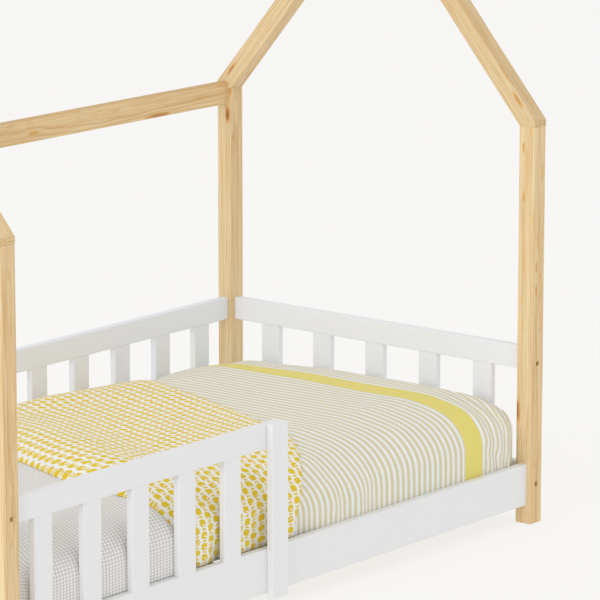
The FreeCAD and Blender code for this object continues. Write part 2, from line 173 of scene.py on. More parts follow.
def waves(x, y, along, across, lean):
    """Soft rolls: a sine along x times a sine along y, each bent by a slow sine of the other.

    along and across are (waves a metre, how far they bend, how slowly), in radians.
    """
    quick_x, bend_x, slow_x = along
    quick_y, bend_y, slow_y = across
    first = np.sin(x * quick_x + bend_x * np.sin(y * slow_x + x * lean))
    return first * np.sin(y * quick_y + bend_y * np.sin(x * slow_y))


# %% [markdown]
# A finish is a recipe of shader nodes. The class below keeps each recipe short: one method
# call adds one node and gives back its output, so a pattern reads like a sum. Numbers that
# are the same all over stay on the shader's own sockets.


# %% A short way to write materials
class Recipe:
    """One material. Its methods add shader nodes and give back their outputs."""

    def __init__(self, name, roughness, specular=0.4, sheen=0.0, metallic=0.0, coat=0.0):
        self.material = bpy.data.materials.new(name)
        self.material.use_nodes = True
        self.tree = self.material.node_tree
        self.shader = self.tree.nodes["Principled BSDF"]
        self.shader.inputs["Roughness"].default_value = roughness
        self.shader.inputs["Specular IOR Level"].default_value = specular
        self.shader.inputs["Sheen Weight"].default_value = sheen
        self.shader.inputs["Metallic"].default_value = metallic
        self.shader.inputs["Coat Weight"].default_value = coat

    def add(self, kind, *inputs, output=0, **settings):
        """A node of this kind with its settings and inputs, and one of its outputs."""
        node = self.tree.nodes.new(kind)
        for name, value in settings.items():
            setattr(node, name, value)
        for place, value in enumerate(inputs):
            self.put(node.inputs[place], value)
        return node.outputs[output]

    def put(self, socket, value):
        """Links an output to the socket or sets it to a number, and leaves it alone for None."""
        if isinstance(value, bpy.types.NodeSocket):
            self.tree.links.new(value, socket)
        elif value is not None:
            socket.default_value = value

    def math(self, operation, a, b=None):
        return self.add("ShaderNodeMath", a, b, operation=operation)

    def vector(self, operation, a, b=None):
        return self.add("ShaderNodeVectorMath", a, b, operation=operation)

    def split(self, vector):
        """The x, y and z of a vector."""
        node = self.tree.nodes.new("ShaderNodeSeparateXYZ")
        self.tree.links.new(vector, node.inputs[0])
        return node.outputs[0], node.outputs[1], node.outputs[2]

    def join(self, x, y):
        return self.add("ShaderNodeCombineXYZ", x, y)

    def place(self, turn=(0, 0, 0), middle=(0, 0, 0)):
        """Object coordinates, moved so that middle is the origin and then turned."""
        node = self.tree.nodes.new("ShaderNodeMapping")
        node.vector_type = "TEXTURE"
        node.inputs["Location"].default_value = middle
        node.inputs["Rotation"].default_value = turn
        coordinates = self.tree.nodes.new("ShaderNodeTexCoord")
        self.tree.links.new(coordinates.outputs["Object"], node.inputs["Vector"])
        return node.outputs[0]

    def cloth(self):
        """The piece's own UV map, which holds metres of cloth."""
        return self.add("ShaderNodeUVMap", uv_map="cloth")

    def noise(self, vector, scale, detail=2.0, rough=0.5, stretch=None):
        """Cloudy noise from 0 to 1, that changes scale times a metre, or stretch times each way."""
        if stretch:
            vector = self.vector("MULTIPLY", vector, stretch)
        node = self.tree.nodes.new("ShaderNodeTexNoise")
        self.tree.links.new(vector, node.inputs["Vector"])
        node.inputs["Scale"].default_value = scale
        node.inputs["Detail"].default_value = detail
        node.inputs["Roughness"].default_value = rough
        return node.outputs[0]

    def around_zero(self, value):
        """A value from 0 to 1, moved down by half."""
        return self.math("SUBTRACT", value, 0.5)

    def ramp(self, value, *stops):
        """A colour ramp whose stops are (place, colour) pairs."""
        node = self.tree.nodes.new("ShaderNodeValToRGB")
        while len(node.color_ramp.elements) < len(stops):
            node.color_ramp.elements.new(0.5)
        for element, (place, colour) in zip(node.color_ramp.elements, stops):
            element.position = place
            element.color = (*colour, 1)
        self.tree.links.new(value, node.inputs[0])
        return node.outputs[0]

    def mix(self, share, a, b, blend="MIX"):
        """Colour a at share 0 and colour b at share 1, or another way to blend b over a."""
        node = self.tree.nodes.new("ShaderNodeMix")
        node.data_type = "RGBA"
        node.blend_type = blend
        self.put(node.inputs["Factor"], share)
        for name, value in (("A", a), ("B", b)):
            socket = next(s for s in node.inputs if s.name == name and s.type == "RGBA")
            self.put(socket, value if isinstance(value, bpy.types.NodeSocket) else (*value, 1))
        return next(s for s in node.outputs if s.type == "RGBA")

    def between(self, value, low, high):
        """1 where value is between low and high."""
        above = self.math("GREATER_THAN", value, low)
        return self.math("MULTIPLY", above, self.math("LESS_THAN", value, high))

    def fade(self, value, low, high, to_low=0.0, to_high=1.0):
        """to_low where value is low, to_high where it is high, and a straight line between."""
        return self.add("ShaderNodeMapRange", value, low, high, to_low, to_high)

    def bump(self, height, strength, distance, normal=None):
        """A relief of this height pattern, distance deep, over the relief in normal."""
        node = self.tree.nodes.new("ShaderNodeBump")
        node.inputs["Strength"].default_value = strength
        node.inputs["Distance"].default_value = distance
        self.tree.links.new(height, node.inputs["Height"])
        if normal is not None:
            self.tree.links.new(normal, node.inputs["Normal"])
        return node.outputs[0]

    def finish(self, colour, roughness=None, normal=None):
        """Puts the patterns on the shader and gives back the material."""
        self.put(self.shader.inputs["Base Color"], colour)
        if roughness is not None:
            self.put(self.shader.inputs["Roughness"], roughness)
        if normal is not None:
            self.put(self.shader.inputs["Normal"], normal)
        print("finish", self.material.name, len(self.tree.nodes), "nodes")
        return self.material


# %% [markdown]
# Pine. The frame is planed pine under a clear satin lacquer. A plank is cut from a tree, so
# its grain is best made the way that the tree made it: rings round a pith line which runs
# beside the plank. Where a face cuts the rings at a slant they open into long arches, and
# where it cuts them square they are straight lines. Knots push the rings apart.


# %% Pine with rings, streaks and knots
PINE_PALE = (0.83, 0.675, 0.415)
PINE_BODY = (0.765, 0.575, 0.31)
PINE_LATE = (0.56, 0.315, 0.10)
PINE_RESIN = (0.70, 0.40, 0.10)
KNOT_RIM = (0.66, 0.36, 0.10)
KNOT_HEART = (0.36, 0.13, 0.04)
FLAT_SAWN = (0.965, 0.92, 0.865)
END_GRAIN = (0.72, 0.58, 0.42)
# painted shade: the colour that darkens the faces of the beams that look up
TOP_SHADE = (0.82, 0.68, 0.46)
# painted shadow: the colour of the thin line of shade painted along the joint at the posts' tops
JOINT_SHADOW = (0.50, 0.34, 0.18)
ROOF_PITCH = math.radians(49.5)
QUARTER = math.pi / 2
SLOW_WANDER, QUICK_WANDER, FINE_WANDER = 30 * MM, 4.2 * MM, 0.7
KNOT_PUSH, KNOT_RAGGED = 1.6, 0.8
JOINT_SHADOW_HALF, JOINT_SHADOW_FADE = 0.4 * MM, 1.2 * MM
PINE_RELIEF = 0.4 * MM
# how often a metre each noise of the grain changes: across, across and along the piece
GRAIN = {
    "slow": (9.0, 9.0, 1.4),
    "quick": (42.0, 42.0, 21.0),
    "fine": (150.0, 150.0, 5.0),
    "patch": (26.0, 26.0, 3.0),
    "streak": (230.0, 230.0, 6.0),
    "soft streak": (110.0, 110.0, 4.0),
    "flame": (105.0, 105.0, 14.0),
    "fibre": (900.0, 900.0, 14.0),
    "knot edge": (420.0, 420.0, 90.0),
}
# each fade: the noise at its start and end, and the share of the colour there
SOFT_STREAKS, DARK_STREAKS, PALE_STREAKS = (0.34, 0.66), (0.46, 0.70, 0.0, 0.45), (0.44, 0.28, 0.0, 0.50)
RESIN_FLAMES, LATE_PATCHES = (0.64, 0.75, 0.0, 0.60), (0.36, 0.64, 0.12, 0.68)
DARK_FIBRES, GLOSS_FIBRES, END_RINGS = (0.52, 0.8, 0.0, 0.30), (0.2, 0.8, 0.38, 0.54), (0.0, 1.0, 0.3, 2.0)
KNOT_RIM_SHARES, KNOT_HEART_SHARES, JOINT_SHADOW_SHARE = (0.85, 1.35, 0.9), (0.45, 0.95), 0.35
RING_STOPS = ((0.0, (0, 0, 0)), (0.5, (0.06, 0.06, 0.06)), (0.85, (1, 1, 1)), (1.0, (0, 0, 0)))
ALONG = {"x": (0, QUARTER, 0), "y": (-QUARTER, 0, 0), "z": (0, 0, 0)}


def pine(name, turn, middle, pith, ring=0.0046, seed=0.0, knots=(), colours=None, seam=None, top_share=0.0,
         shade=(1.0, 1.0, 1.0)):
    """Rings: the distance from a pith line along the piece, wobbled by noise, in ring widths.

    pith is where that line passes beside the piece's middle. Each knot is (point, radius, dark,
    slim) in the bed's frame: around it the rings are pushed apart and the wood is resinous, dark
    says how brown its heart is, and slim is its width as a share of its length. Faces towards
    the pith are flat-sawn and warmer, and end grain is darker. seam is the height of a joint
    line, along which a thin shadow is painted into the wood, and top_share how strongly shade
    is painted onto the faces that look up. shade is the board's own tone, because no two
    boards of a bed are quite alike.
    """
    pale, body, late = colours or (PINE_PALE, PINE_BODY, PINE_LATE)
    wood = Recipe(name, roughness=0.42, specular=0.3, coat=0.1)
    wood.shader.inputs["Coat Roughness"].default_value = 0.3
    grain = wood.place(turn, middle)
    shifted = wood.vector("ADD", grain, (seed, seed * 0.7, seed * 1.9))
    slow = wood.around_zero(wood.noise(shifted, 1.0, 1.0, stretch=GRAIN["slow"]))
    quick = wood.around_zero(wood.noise(shifted, 1.0, 1.5, stretch=GRAIN["quick"]))
    slow = wood.math("MULTIPLY", slow, SLOW_WANDER)
    wander = wood.math("ADD", slow, wood.math("MULTIPLY", quick, QUICK_WANDER))
    x, y, z = wood.split(grain)
    across = wood.math("SUBTRACT", x, pith[0])
    depth = wood.math("SUBTRACT", y, pith[1])
    square = wood.math("ADD", wood.math("MULTIPLY", across, across), wood.math("MULTIPLY", depth, depth))
    reach = wood.math("ADD", wood.math("SQRT", square), wander)
    rim_from, rim_to, rim_share = KNOT_RIM_SHARES
    heart_from, heart_to = KNOT_HEART_SHARES
    rim = heart = None
    for point, radius, dark, slim in knots:
        away = wood.vector("SUBTRACT", wood.place(), point)
        local = wood.add("ShaderNodeMapping", away, None, turn, vector_type="TEXTURE")
        oval = wood.vector("MULTIPLY", local, (1.0, 1.0, slim))
        far = wood.add("ShaderNodeVectorMath", oval, operation="LENGTH", output=1)
        push = wood.math("POWER", math.e, wood.math("DIVIDE", far, -KNOT_PUSH * radius))
        reach = wood.math("ADD", reach, wood.math("MULTIPLY", push, KNOT_PUSH * radius))
        ragged = wood.around_zero(wood.noise(grain, 1.0, 3.0, stretch=GRAIN["knot edge"]))
        edge = wood.math("ADD", far, wood.math("MULTIPLY", ragged, KNOT_RAGGED * radius))
        outer = wood.fade(edge, rim_from * radius, rim_to * radius, rim_share, 0.0)
        inner = wood.fade(edge, heart_from * radius, heart_to * radius, dark, 0.0)
        rim = outer if rim is None else wood.math("MAXIMUM", rim, outer)
        heart = inner if heart is None else wood.math("MAXIMUM", heart, inner)
    fine = wood.noise(shifted, 1.0, 3.0, stretch=GRAIN["fine"])
    phase = wood.math("ADD", wood.math("DIVIDE", reach, ring), wood.math("MULTIPLY", fine, FINE_WANDER))
    rings = wood.ramp(wood.math("FRACT", phase), *RING_STOPS)
    patch = wood.noise(shifted, 1.0, 2.0, stretch=GRAIN["patch"])
    streak = wood.noise(shifted, 1.0, 3.0, 0.6, stretch=GRAIN["streak"])
    soft_streak = wood.noise(shifted, 1.0, 2.0, stretch=GRAIN["soft streak"])
    tone = wood.mix(wood.fade(soft_streak, *SOFT_STREAKS), pale, body)
    tone = wood.mix(wood.fade(streak, *DARK_STREAKS), tone, late)
    tone = wood.mix(wood.fade(streak, *PALE_STREAKS), tone, pale)
    flame = wood.noise(shifted, 1.0, 2.0, stretch=GRAIN["flame"])
    tone = wood.mix(wood.fade(flame, *RESIN_FLAMES), tone, PINE_RESIN)
    late_share = wood.math("MULTIPLY", rings, wood.fade(patch, *LATE_PATCHES))
    colour = wood.mix(1.0, wood.mix(late_share, tone, late), shade, "MULTIPLY")
    fibre = wood.noise(shifted, 1.0, 4.0, 0.65, stretch=GRAIN["fibre"])
    colour = wood.mix(wood.fade(fibre, *DARK_FIBRES), colour, late)
    facing = wood.add("ShaderNodeTexCoord", output=1)
    to_pith = Euler(turn).to_matrix() @ Vector((pith[0], pith[1], 0)).normalized()
    flat = wood.add("ShaderNodeVectorMath", facing, to_pith, operation="DOT_PRODUCT", output=1)
    colour = wood.mix(wood.math("MULTIPLY", flat, flat), colour, FLAT_SAWN, "MULTIPLY")
    length_way = Euler(turn).to_matrix() @ Vector((0, 0, 1))
    end = wood.add("ShaderNodeVectorMath", facing, length_way, operation="DOT_PRODUCT", output=1)
    end_share = wood.math("MULTIPLY", wood.math("MULTIPLY", end, end), wood.fade(rings, *END_RINGS))
    colour = wood.mix(end_share, colour, END_GRAIN, "MULTIPLY")
    # Painted shade: faces are darkened by how much they look up.
    if top_share:
        up = wood.math("MAXIMUM", wood.split(facing)[2], 0.0)
        colour = wood.mix(wood.math("MULTIPLY", up, top_share), colour, TOP_SHADE, "MULTIPLY")
    if rim is not None:
        colour = wood.mix(rim, colour, KNOT_RIM)
        colour = wood.mix(heart, colour, KNOT_HEART)
    # Painted shadow: a thin dark line at the height of the joint, where the parts meet.
    if seam is not None:
        gap = wood.math("ABSOLUTE", wood.math("SUBTRACT", wood.split(wood.place())[2], seam))
        colour = wood.mix(wood.fade(gap, JOINT_SHADOW_HALF, JOINT_SHADOW_FADE, JOINT_SHADOW_SHARE, 0.0), colour, JOINT_SHADOW)
    height = wood.math("ADD", wood.math("MULTIPLY", late_share, 0.5), wood.math("MULTIPLY", fibre, 0.5))
    gloss = wood.fade(fibre, *GLOSS_FIBRES)
    return wood.finish(colour, gloss, wood.bump(height, 0.25, PINE_RELIEF))


def coat_node(node, material):
    """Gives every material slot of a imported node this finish."""
    for place in range(len(nodes[node].data.materials)):
        nodes[node].data.materials[place] = material
    if not nodes[node].data.materials:
        nodes[node].data.materials.append(material)


def node_middle(node):
    """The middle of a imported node's box."""
    low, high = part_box(node)
    return tuple((low + high) / 2)


front_rafter = (-(QUARTER - ROOF_PITCH), 0, 0)
back_rafter = (QUARTER - ROOF_PITCH, 0, 0)
seat_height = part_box("post_front_right")[1].z
SEED_FIRST, SEED_STEP = 0.4, 1.7
# each timber: its direction, where its pith passes, the width of its rings, and its knots
timber = {
    "post_front_left": ("z", (0.004, -0.05), 0.0046, []),
    "post_front_right": ("z", (0.008, -0.050), 0.0050, [
        ((0.800, -0.3965, 0.245), 0.0080, 0.75, 0.32), ((0.800, -0.407, 0.815), 0.0028, 0.0, 0.25),
        ((0.800, -0.409, 0.710), 0.0028, 0.0, 0.25), ((0.812, -0.435, 0.560), 0.0030, 0.1, 0.25),
        ((0.812, -0.435, 0.510), 0.0030, 0.2, 0.25)]),
    "post_back_left": ("z", (-0.05, 0.02), 0.0046, []),
    "post_back_right": ("z", (-0.008, -0.05), 0.0048, [
        ((0.800, 0.4055, 0.801), 0.0068, 0.95, 0.37), ((0.800, 0.398, 0.856), 0.0030, 0.2, 0.3)]),
    "eave_beam_back": ("x", (-0.006, -0.05), 0.0048, [
        ((0.566, 0.406, 0.829), 0.0050, 0.55, 0.13), ((0.165, 0.406, 0.843), 0.0030, 0.0, 0.2)]),
    "ridge_beam": ("x", (0.01, 0.06), 0.0046, []),
    "rafter_front_left": (front_rafter, (0.02, 0.05), 0.0046, []),
    "rafter_front_right": (front_rafter, (0.008, 0.045), 0.0046, [
        ((0.836, -0.409, 0.893), 0.0042, 1.0, 0.4), ((0.832, -0.298, 1.028), 0.0036, 0.35, 0.16),
        ((0.836, -0.355, 0.958), 0.0030, 0.2, 0.2), ((0.800, -0.390, 0.915), 0.0042, 0.25, 0.22)]),
    "rafter_back_left": (back_rafter, (0.03, -0.05), 0.0046, []),
    "rafter_back_right": (back_rafter, (0.008, -0.05), 0.0054, [
        ((0.800, 0.394, 0.905), 0.0036, 0.5, 0.22)]),
}
SHADES = {"rafter_front_right": (0.935, 0.935, 0.935), "rafter_back_right": (0.97, 0.97, 0.97),
          "post_back_right": (0.97, 0.99, 1.03)}
for place, (node, (direction, pith, ring, knots)) in enumerate(timber.items()):
    turn = ALONG.get(direction, direction) if isinstance(direction, str) else direction
    beam = node.endswith("beam") or node.startswith("eave")
    seed = SEED_STEP * place + SEED_FIRST
    finish = pine("pine_" + node, turn, node_middle(node), pith, ring, seed, knots,
                  seam=None if beam else seat_height, top_share=1.0 if beam else 0.0,
                  shade=SHADES.get(node, (1.0, 1.0, 1.0)))
    coat_node(node, finish)

# %% [markdown]
# The slatted base and its ledgers are the same timber without lacquer, which is rougher; their finish
# differs only in paler colours.

# %% Bare pine inside the bed
BARE = ((0.80, 0.67, 0.46), (0.76, 0.61, 0.39), (0.60, 0.42, 0.21))
for node, direction, pith in (
    ("ledger_front", "x", (0.02, 0.05)),
    ("ledger_back", "x", (0.02, -0.05)),
    ("base_slats", "y", (0.0, 0.06)),
):
    bare = pine("bare_" + node, ALONG[direction], node_middle(node), pith,
                seed=len(node) * 0.9, colours=BARE)
    coat_node(node, bare)

# %% [markdown]
# White paint. The guards are pine under satin white paint. Paint fills the grain but not
# wholly, so a very low relief of fibres and roller marks stays, and the gloss varies a
# little. In scattered patches the coat is thinner and slightly warmer.


# %% Satin white paint on pine
PAINT = (0.812, 0.815, 0.82)
PAINT_WORN = (0.79, 0.782, 0.765)
# painted light: the two tints on this line cancel the warm light that the bedding bounces onto the end and
# back guards
END_LIGHT_TINT, BACK_LIGHT_TINT = (1.008, 1.018, 1.048), (0.995, 1.012, 1.062)
PAINT_FIBRE, PAINT_WEAR = (420.0, 420.0, 9.0), (30.0, 30.0, 5.0)
ROLLER, CLOUD = 210.0, 5.0
WORN_PATCHES, GLOSS_CLOUDS = (0.62, 0.85, 0.0, 0.5), (0.3, 0.7, 0.34, 0.46)
PAINT_RELIEF = 0.3 * MM


def white_paint(name, direction, tint=(1.0, 1.0, 1.0)):
    """Stretched noise along the timber for the grain under the paint, round noise for the roller.

    tint multiplies the coat's colour. On the end and back guards it is painted light: a bluer,
    slightly brighter white that cancels the warm light that the bedding bounces onto them.
    """
    paint = Recipe(name, roughness=0.38, specular=0.35)
    grain = paint.place(ALONG[direction])
    fibre = paint.noise(grain, 1.0, 3.0, 0.6, stretch=PAINT_FIBRE)
    roller = paint.noise(grain, ROLLER, 2.0)
    cloud = paint.noise(grain, CLOUD, 2.0)
    worn = paint.fade(paint.noise(grain, 1.0, 3.0, stretch=PAINT_WEAR), *WORN_PATCHES)
    colour = paint.mix(1.0, paint.mix(worn, PAINT, PAINT_WORN), tint, "MULTIPLY")
    height = paint.math("ADD", paint.math("MULTIPLY", fibre, 0.6), paint.math("MULTIPLY", roller, 0.4))
    gloss = paint.fade(cloud, *GLOSS_CLOUDS)
    return paint.finish(colour, gloss, paint.bump(height, 0.12, PAINT_RELIEF))


for direction, names in {
    "x": ("side_board_front", "side_board_back", "guard_rail_front"),
    "y": ("end_board_left", "end_board_right", "guard_rail_left"),
    "z": ("guard_slats_front", "guard_slats_left", "guard_post_front"),
}.items():
    paint_finish = white_paint("white_paint_" + direction, direction)
    for node in names:
        coat_node(node, paint_finish)
# Painted light: the end and back guards get a bluer, slightly brighter white, against the warm light
# bounced onto them from the bedding.
for node, direction, tint in (
    ("guard_rail_right", "y", END_LIGHT_TINT), ("guard_slats_right", "z", END_LIGHT_TINT),
    ("guard_rail_back", "x", BACK_LIGHT_TINT), ("guard_slats_back", "z", BACK_LIGHT_TINT),
):
    coat_node(node, white_paint("white_paint_" + node, direction, tint))

# %% [markdown]
# Small parts. The bolts are zinc-plated and then dipped in a bath that leaves a brassy film
# over the fine crystals. Beech dowels are pale and close-grained. The tapes under the slats
# are woven, so two sets of ridges cross.

# %% Zinc, beech and woven tape
ZINC_DARK, ZINC_BRIGHT = (0.62, 0.47, 0.20), (0.86, 0.70, 0.38)
BEECH_DARK, BEECH_PALE = (0.60, 0.42, 0.25), (0.76, 0.58, 0.38)
TAPE_DARK, TAPE_PALE = (0.70, 0.69, 0.65), (0.84, 0.83, 0.79)
SPANGLES, ZINC_GLOSS, FLECKS = 900.0, (0.3, 0.7, 0.26, 0.5), (260.0, 260.0, 260.0)
TAPE_RIBS, CROSS_RIBS = 2600.0, 3400.0
ZINC_RELIEF, BEECH_RELIEF, TAPE_RELIEF = 0.1 * MM, 0.3 * MM, 0.5 * MM
zinc = Recipe("zinc", roughness=0.36, metallic=1.0)
spangle = zinc.noise(zinc.place(), SPANGLES, 3.0)
zinc_colour = zinc.mix(spangle, ZINC_DARK, ZINC_BRIGHT)
zinc_gloss = zinc.fade(spangle, *ZINC_GLOSS)
zinc_finish = zinc.finish(zinc_colour, zinc_gloss, zinc.bump(spangle, 0.2, ZINC_RELIEF))
for node in ("frame_bolts", "barrel_nuts", "wood_screws"):
    coat_node(node, zinc_finish)

beech = Recipe("beech", roughness=0.6, specular=0.25)
flecks = beech.noise(beech.place(), 1.0, 3.0, stretch=FLECKS)
beech_colour = beech.mix(flecks, BEECH_DARK, BEECH_PALE)
beech_finish = beech.finish(beech_colour, None, beech.bump(flecks, 0.3, BEECH_RELIEF))
coat_node("joint_dowels", beech_finish)

tape = Recipe("tape_webbing", roughness=0.8, specular=0.2)
tape_x, tape_y = tape.split(tape.place())[:2]
rib = tape.math("SINE", tape.math("MULTIPLY", tape_x, TAPE_RIBS))
cross_rib = tape.math("SINE", tape.math("MULTIPLY", tape_y, CROSS_RIBS))
weave = tape.math("MULTIPLY", rib, cross_rib)
tape_colour = tape.mix(tape.fade(weave, -1.0, 1.0), TAPE_DARK, TAPE_PALE)
tape_finish = tape.finish(tape_colour, None, tape.bump(weave, 0.5, TAPE_RELIEF))
for node in ("base_tape_front", "base_tape_back"):
    coat_node(node, tape_finish)

# %% [markdown]
# The cloths that cover the mattress share one shape: a box with large soft shoulders. It is
# made as a grid whose rows run round the bed at its hem and turn into a plain flat grid on
# top, so the same function gives the sheet and the coverlet. A sewn corner runs down each
# corner's middle, where the cloth of the side meets the cloth of the end.

# %% The soft box that the sheet and the coverlet follow
# a range in brackets runs from where smooth_step gives 0 to where it gives 1
SIDE_ACROSS, SIDE_DROP = 165 * MM, 93 * MM
END_ACROSS, END_DROP = 70 * MM, 62 * MM
PLAN_CORNER = 46 * MM
EASE_BELOW, EASE_ABOVE = 3 * MM, 1 * MM
SINK_ALL, SINK_CORNER = 3 * MM, 13 * MM
SINK_ALL_X, SINK_CORNER_X, SINK_CORNER_Y = (0.66, 0.76), (0.58, 0.74), (0.02, 0.26)
SINK_Z = (0.18, 0.26)
SHOULDER_Y, CORNER_Y = (0.28, 0.38), (0.24, 0.36)
side_rows, shoulder_rows = 14, 26
band_rows = side_rows + shoulder_rows
flat_columns, flat_lines = 168, 44


def soft_box(half_long, half_wide, top, hem):
    """The outside of a cover over the mattress, as a grid of points with the UVs of side and end.

    Rows count from the hem. The first of them stand upright and the rest turn over the shoulder on
    a quarter ellipse: inwards by across(1 - cos t) and up to drop(1 - sin t) below the top. In a
    corner a row is a straight piece and an eighth of a circle, shared out by length, and the
    ellipse of the side blends into the ellipse of the end. The last array says for each face
    whether it belongs to the end.
    """
    columns = np.arange(flat_columns + 2 * band_rows + 1)
    lines = np.arange(flat_lines + 2 * band_rows + 1)
    i, j = np.meshgrid(columns, lines, indexing="ij")
    sign_x = np.where(i * 2 < columns[-1], -1.0, 1.0)
    sign_y = np.where(j * 2 < lines[-1], -1.0, 1.0)
    from_end = np.minimum(i, columns[-1] - i)
    from_side = np.minimum(j, lines[-1] - j)
    row = np.minimum(np.minimum(from_end, from_side), band_rows)
    angle = np.clip((row - side_rows) / shoulder_rows, 0, 1) * QUARTER
    in_cos = np.cos(angle)
    inset_x = END_ACROSS * (1 - in_cos)
    inset_y = SIDE_ACROSS * (1 - in_cos)
    radius = PLAN_CORNER * in_cos
    flat_x = half_long - END_ACROSS
    flat_y = half_wide - SIDE_ACROSS
    level_x = np.abs((i - band_rows) / flat_columns * 2 - 1) * flat_x
    level_y = np.abs((j - band_rows) / flat_lines * 2 - 1) * flat_y
    on_side = from_side <= from_end
    in_corner = (from_end < band_rows) & (from_side < band_rows)
    inside = (from_end >= band_rows) & (from_side >= band_rows)
    x = np.where(on_side | inside, level_x, half_long - inset_x)
    y = np.where(on_side & ~inside, half_wide - inset_y, level_y)
    left_to_go = np.maximum(band_rows - row, 1)
    share = np.where(on_side, band_rows - from_end, band_rows - from_side) / left_to_go
    straight = np.where(on_side, END_ACROSS - inset_x, SIDE_ACROSS - inset_y) - radius
    length = straight + radius * QUARTER / 2
    gone = share * length
    swing = np.maximum(gone - straight, 0) / np.maximum(radius, 1e-6)
    run = np.minimum(gone, straight) + radius * np.sin(swing)
    back = radius * (1 - np.cos(swing))
    corner_x = np.where(on_side, flat_x + run, half_long - inset_x - back)
    corner_y = np.where(on_side, half_wide - inset_y - back, flat_y + run)
    x = np.where(in_corner, corner_x, x)
    y = np.where(in_corner, corner_y, y)
    to_end = np.where(in_corner, np.where(on_side, share / 2, 1 - share / 2), np.where(on_side, 0.0, 1.0))
    to_end = smooth_step(0, 1, to_end)
    drop = SIDE_DROP + (END_DROP - SIDE_DROP) * to_end
    upright = np.clip(row / side_rows, 0, 1)
    z = hem + (top - drop - hem) * upright + drop * np.sin(angle)
    points = np.stack([sign_x * x, sign_y * y, z], -1)
    down_side = profile_length(SIDE_ACROSS, SIDE_DROP, angle) + (1 - upright) * (top - SIDE_DROP - hem)
    down_end = profile_length(END_ACROSS, END_DROP, angle) + (1 - upright) * (top - END_DROP - hem)
    end_reach = flat_x + profile_length(END_ACROSS, END_DROP, angle)
    stretched = flat_x + share * (end_reach - flat_x)
    side_u = np.where(in_corner & on_side, stretched, np.minimum(x, end_reach))
    side_uv = np.stack([sign_x * side_u, sign_y * np.where(on_side, flat_y + down_side, y)], -1)
    end_uv = np.stack([sign_x * (flat_x + down_end), sign_y * y], -1)
    side_uv = np.where(inside[..., None], np.stack([sign_x * x, sign_y * y], -1), side_uv)
    on_end = ~on_side
    face_on_end = (on_end[:-1, :-1] | on_end[1:, 1:] | on_end[:-1, 1:] | on_end[1:, :-1])
    face_inside = inside[:-1, :-1] & inside[1:, 1:] & inside[:-1, 1:] & inside[1:, :-1]
    return points, side_uv, end_uv, face_on_end & ~face_inside


def profile_length(across, drop, angle):
    """Length of the quarter ellipse from the level top down to angle, by adding up short chords."""
    steps = np.linspace(0, QUARTER, 400)
    pace = np.hypot(across * np.sin(steps), drop * np.cos(steps))
    total = np.concatenate([[0], np.cumsum((pace[1:] + pace[:-1]) / 2 * np.diff(steps))])
    return total[-1] - np.interp(angle, steps, total)


def swell(points, amount):
    """Moves each point out along the grid's normal by amount, in metres."""
    return points + grid_normals(points) * amount[..., None]


def inside_guard(points, gap):
    """Holds a cloth clear of the timber: |y| stays gap inside the boards, and above their top edge
    it may lie over the eased edge, still clear of the slats."""
    above_board = smooth_step(board_top - EASE_BELOW, board_top + EASE_ABOVE, points[..., 2])
    over_edge = (SLAT_INNER - board_inner + gap - CLEAR) * above_board
    reach = board_inner - gap + over_edge
    held = points.copy()
    held[..., 1] = np.clip(points[..., 1], -reach, reach)
    return held


def corner_sink(points):
    """How far the bedding has sunk at its right end: a little all along it, most at the back corner."""
    x, y, z = np.moveaxis(points, -1, 0)
    back_corner = smooth_step(*SINK_CORNER_Y, y) * smooth_step(*SINK_CORNER_X, x)
    sunk = SINK_CORNER * back_corner + SINK_ALL * smooth_step(*SINK_ALL_X, x)
    return sunk * smooth_step(*SINK_Z, z)


def crease(x, z, start, end, width):
    """1 on the segment from start to end, places (x, z) on the hanging side, fading within width."""
    run_x, run_z = end[0] - start[0], end[1] - start[1]
    share = np.clip(((x - start[0]) * run_x + (z - start[1]) * run_z) / (run_x ** 2 + run_z ** 2), 0, 1)
    away = np.hypot(x - start[0] - share * run_x, z - start[1] - share * run_z)
    return np.exp(-(away / width) ** 2)


# %% [markdown]
# Fitted sheet: white cotton with a fine grey windowpane check, drawn tight by an elastic hem.
# It shows at the left end. Stretched cloth has few folds: a shallow hollow runs along the
# front shoulder, the side ripples a little, and short creases pull at the corners. Where the
# throw covers it, it lies smooth, so nothing pushes through.

# %% Fitted sheet
SHEET_SWELL = 12.5 * MM
SHEET_THICK = 1.2 * MM
HOLLOW_DEEP, PRESS_DEEP = 15 * MM, 1.4 * MM
RIPPLE_HIGH, PULL_HIGH = 1.3 * MM, 1.0 * MM
SHEET_UNDER = 1 * MM
HEM_HEIGHTS, HEM_PLACES = (0.135, 0.229, 0.266, 0.282), (-0.266, -0.323, -0.334, -0.363)
FREE_FROM, FREE_TO = 10 * MM, 16 * MM
END_X, END_CALM_SHARE = (0.70, 0.77), 0.7
HOLLOW = ((-0.78, 0.242), (-0.40, 0.274), 0.021)
RIPPLES, RIPPLE_BEND, RIPPLE_SLOW = 34, 2.2, 9
RIPPLE_Z, RIPPLE_TALL = 0.20, 0.05
PULL_X, PULL_Y, PULLS = 0.72, 0.30, 16
PRESS_X, PRESS_LONG, PRESS_WIDE = -0.62, 0.16, 0.20

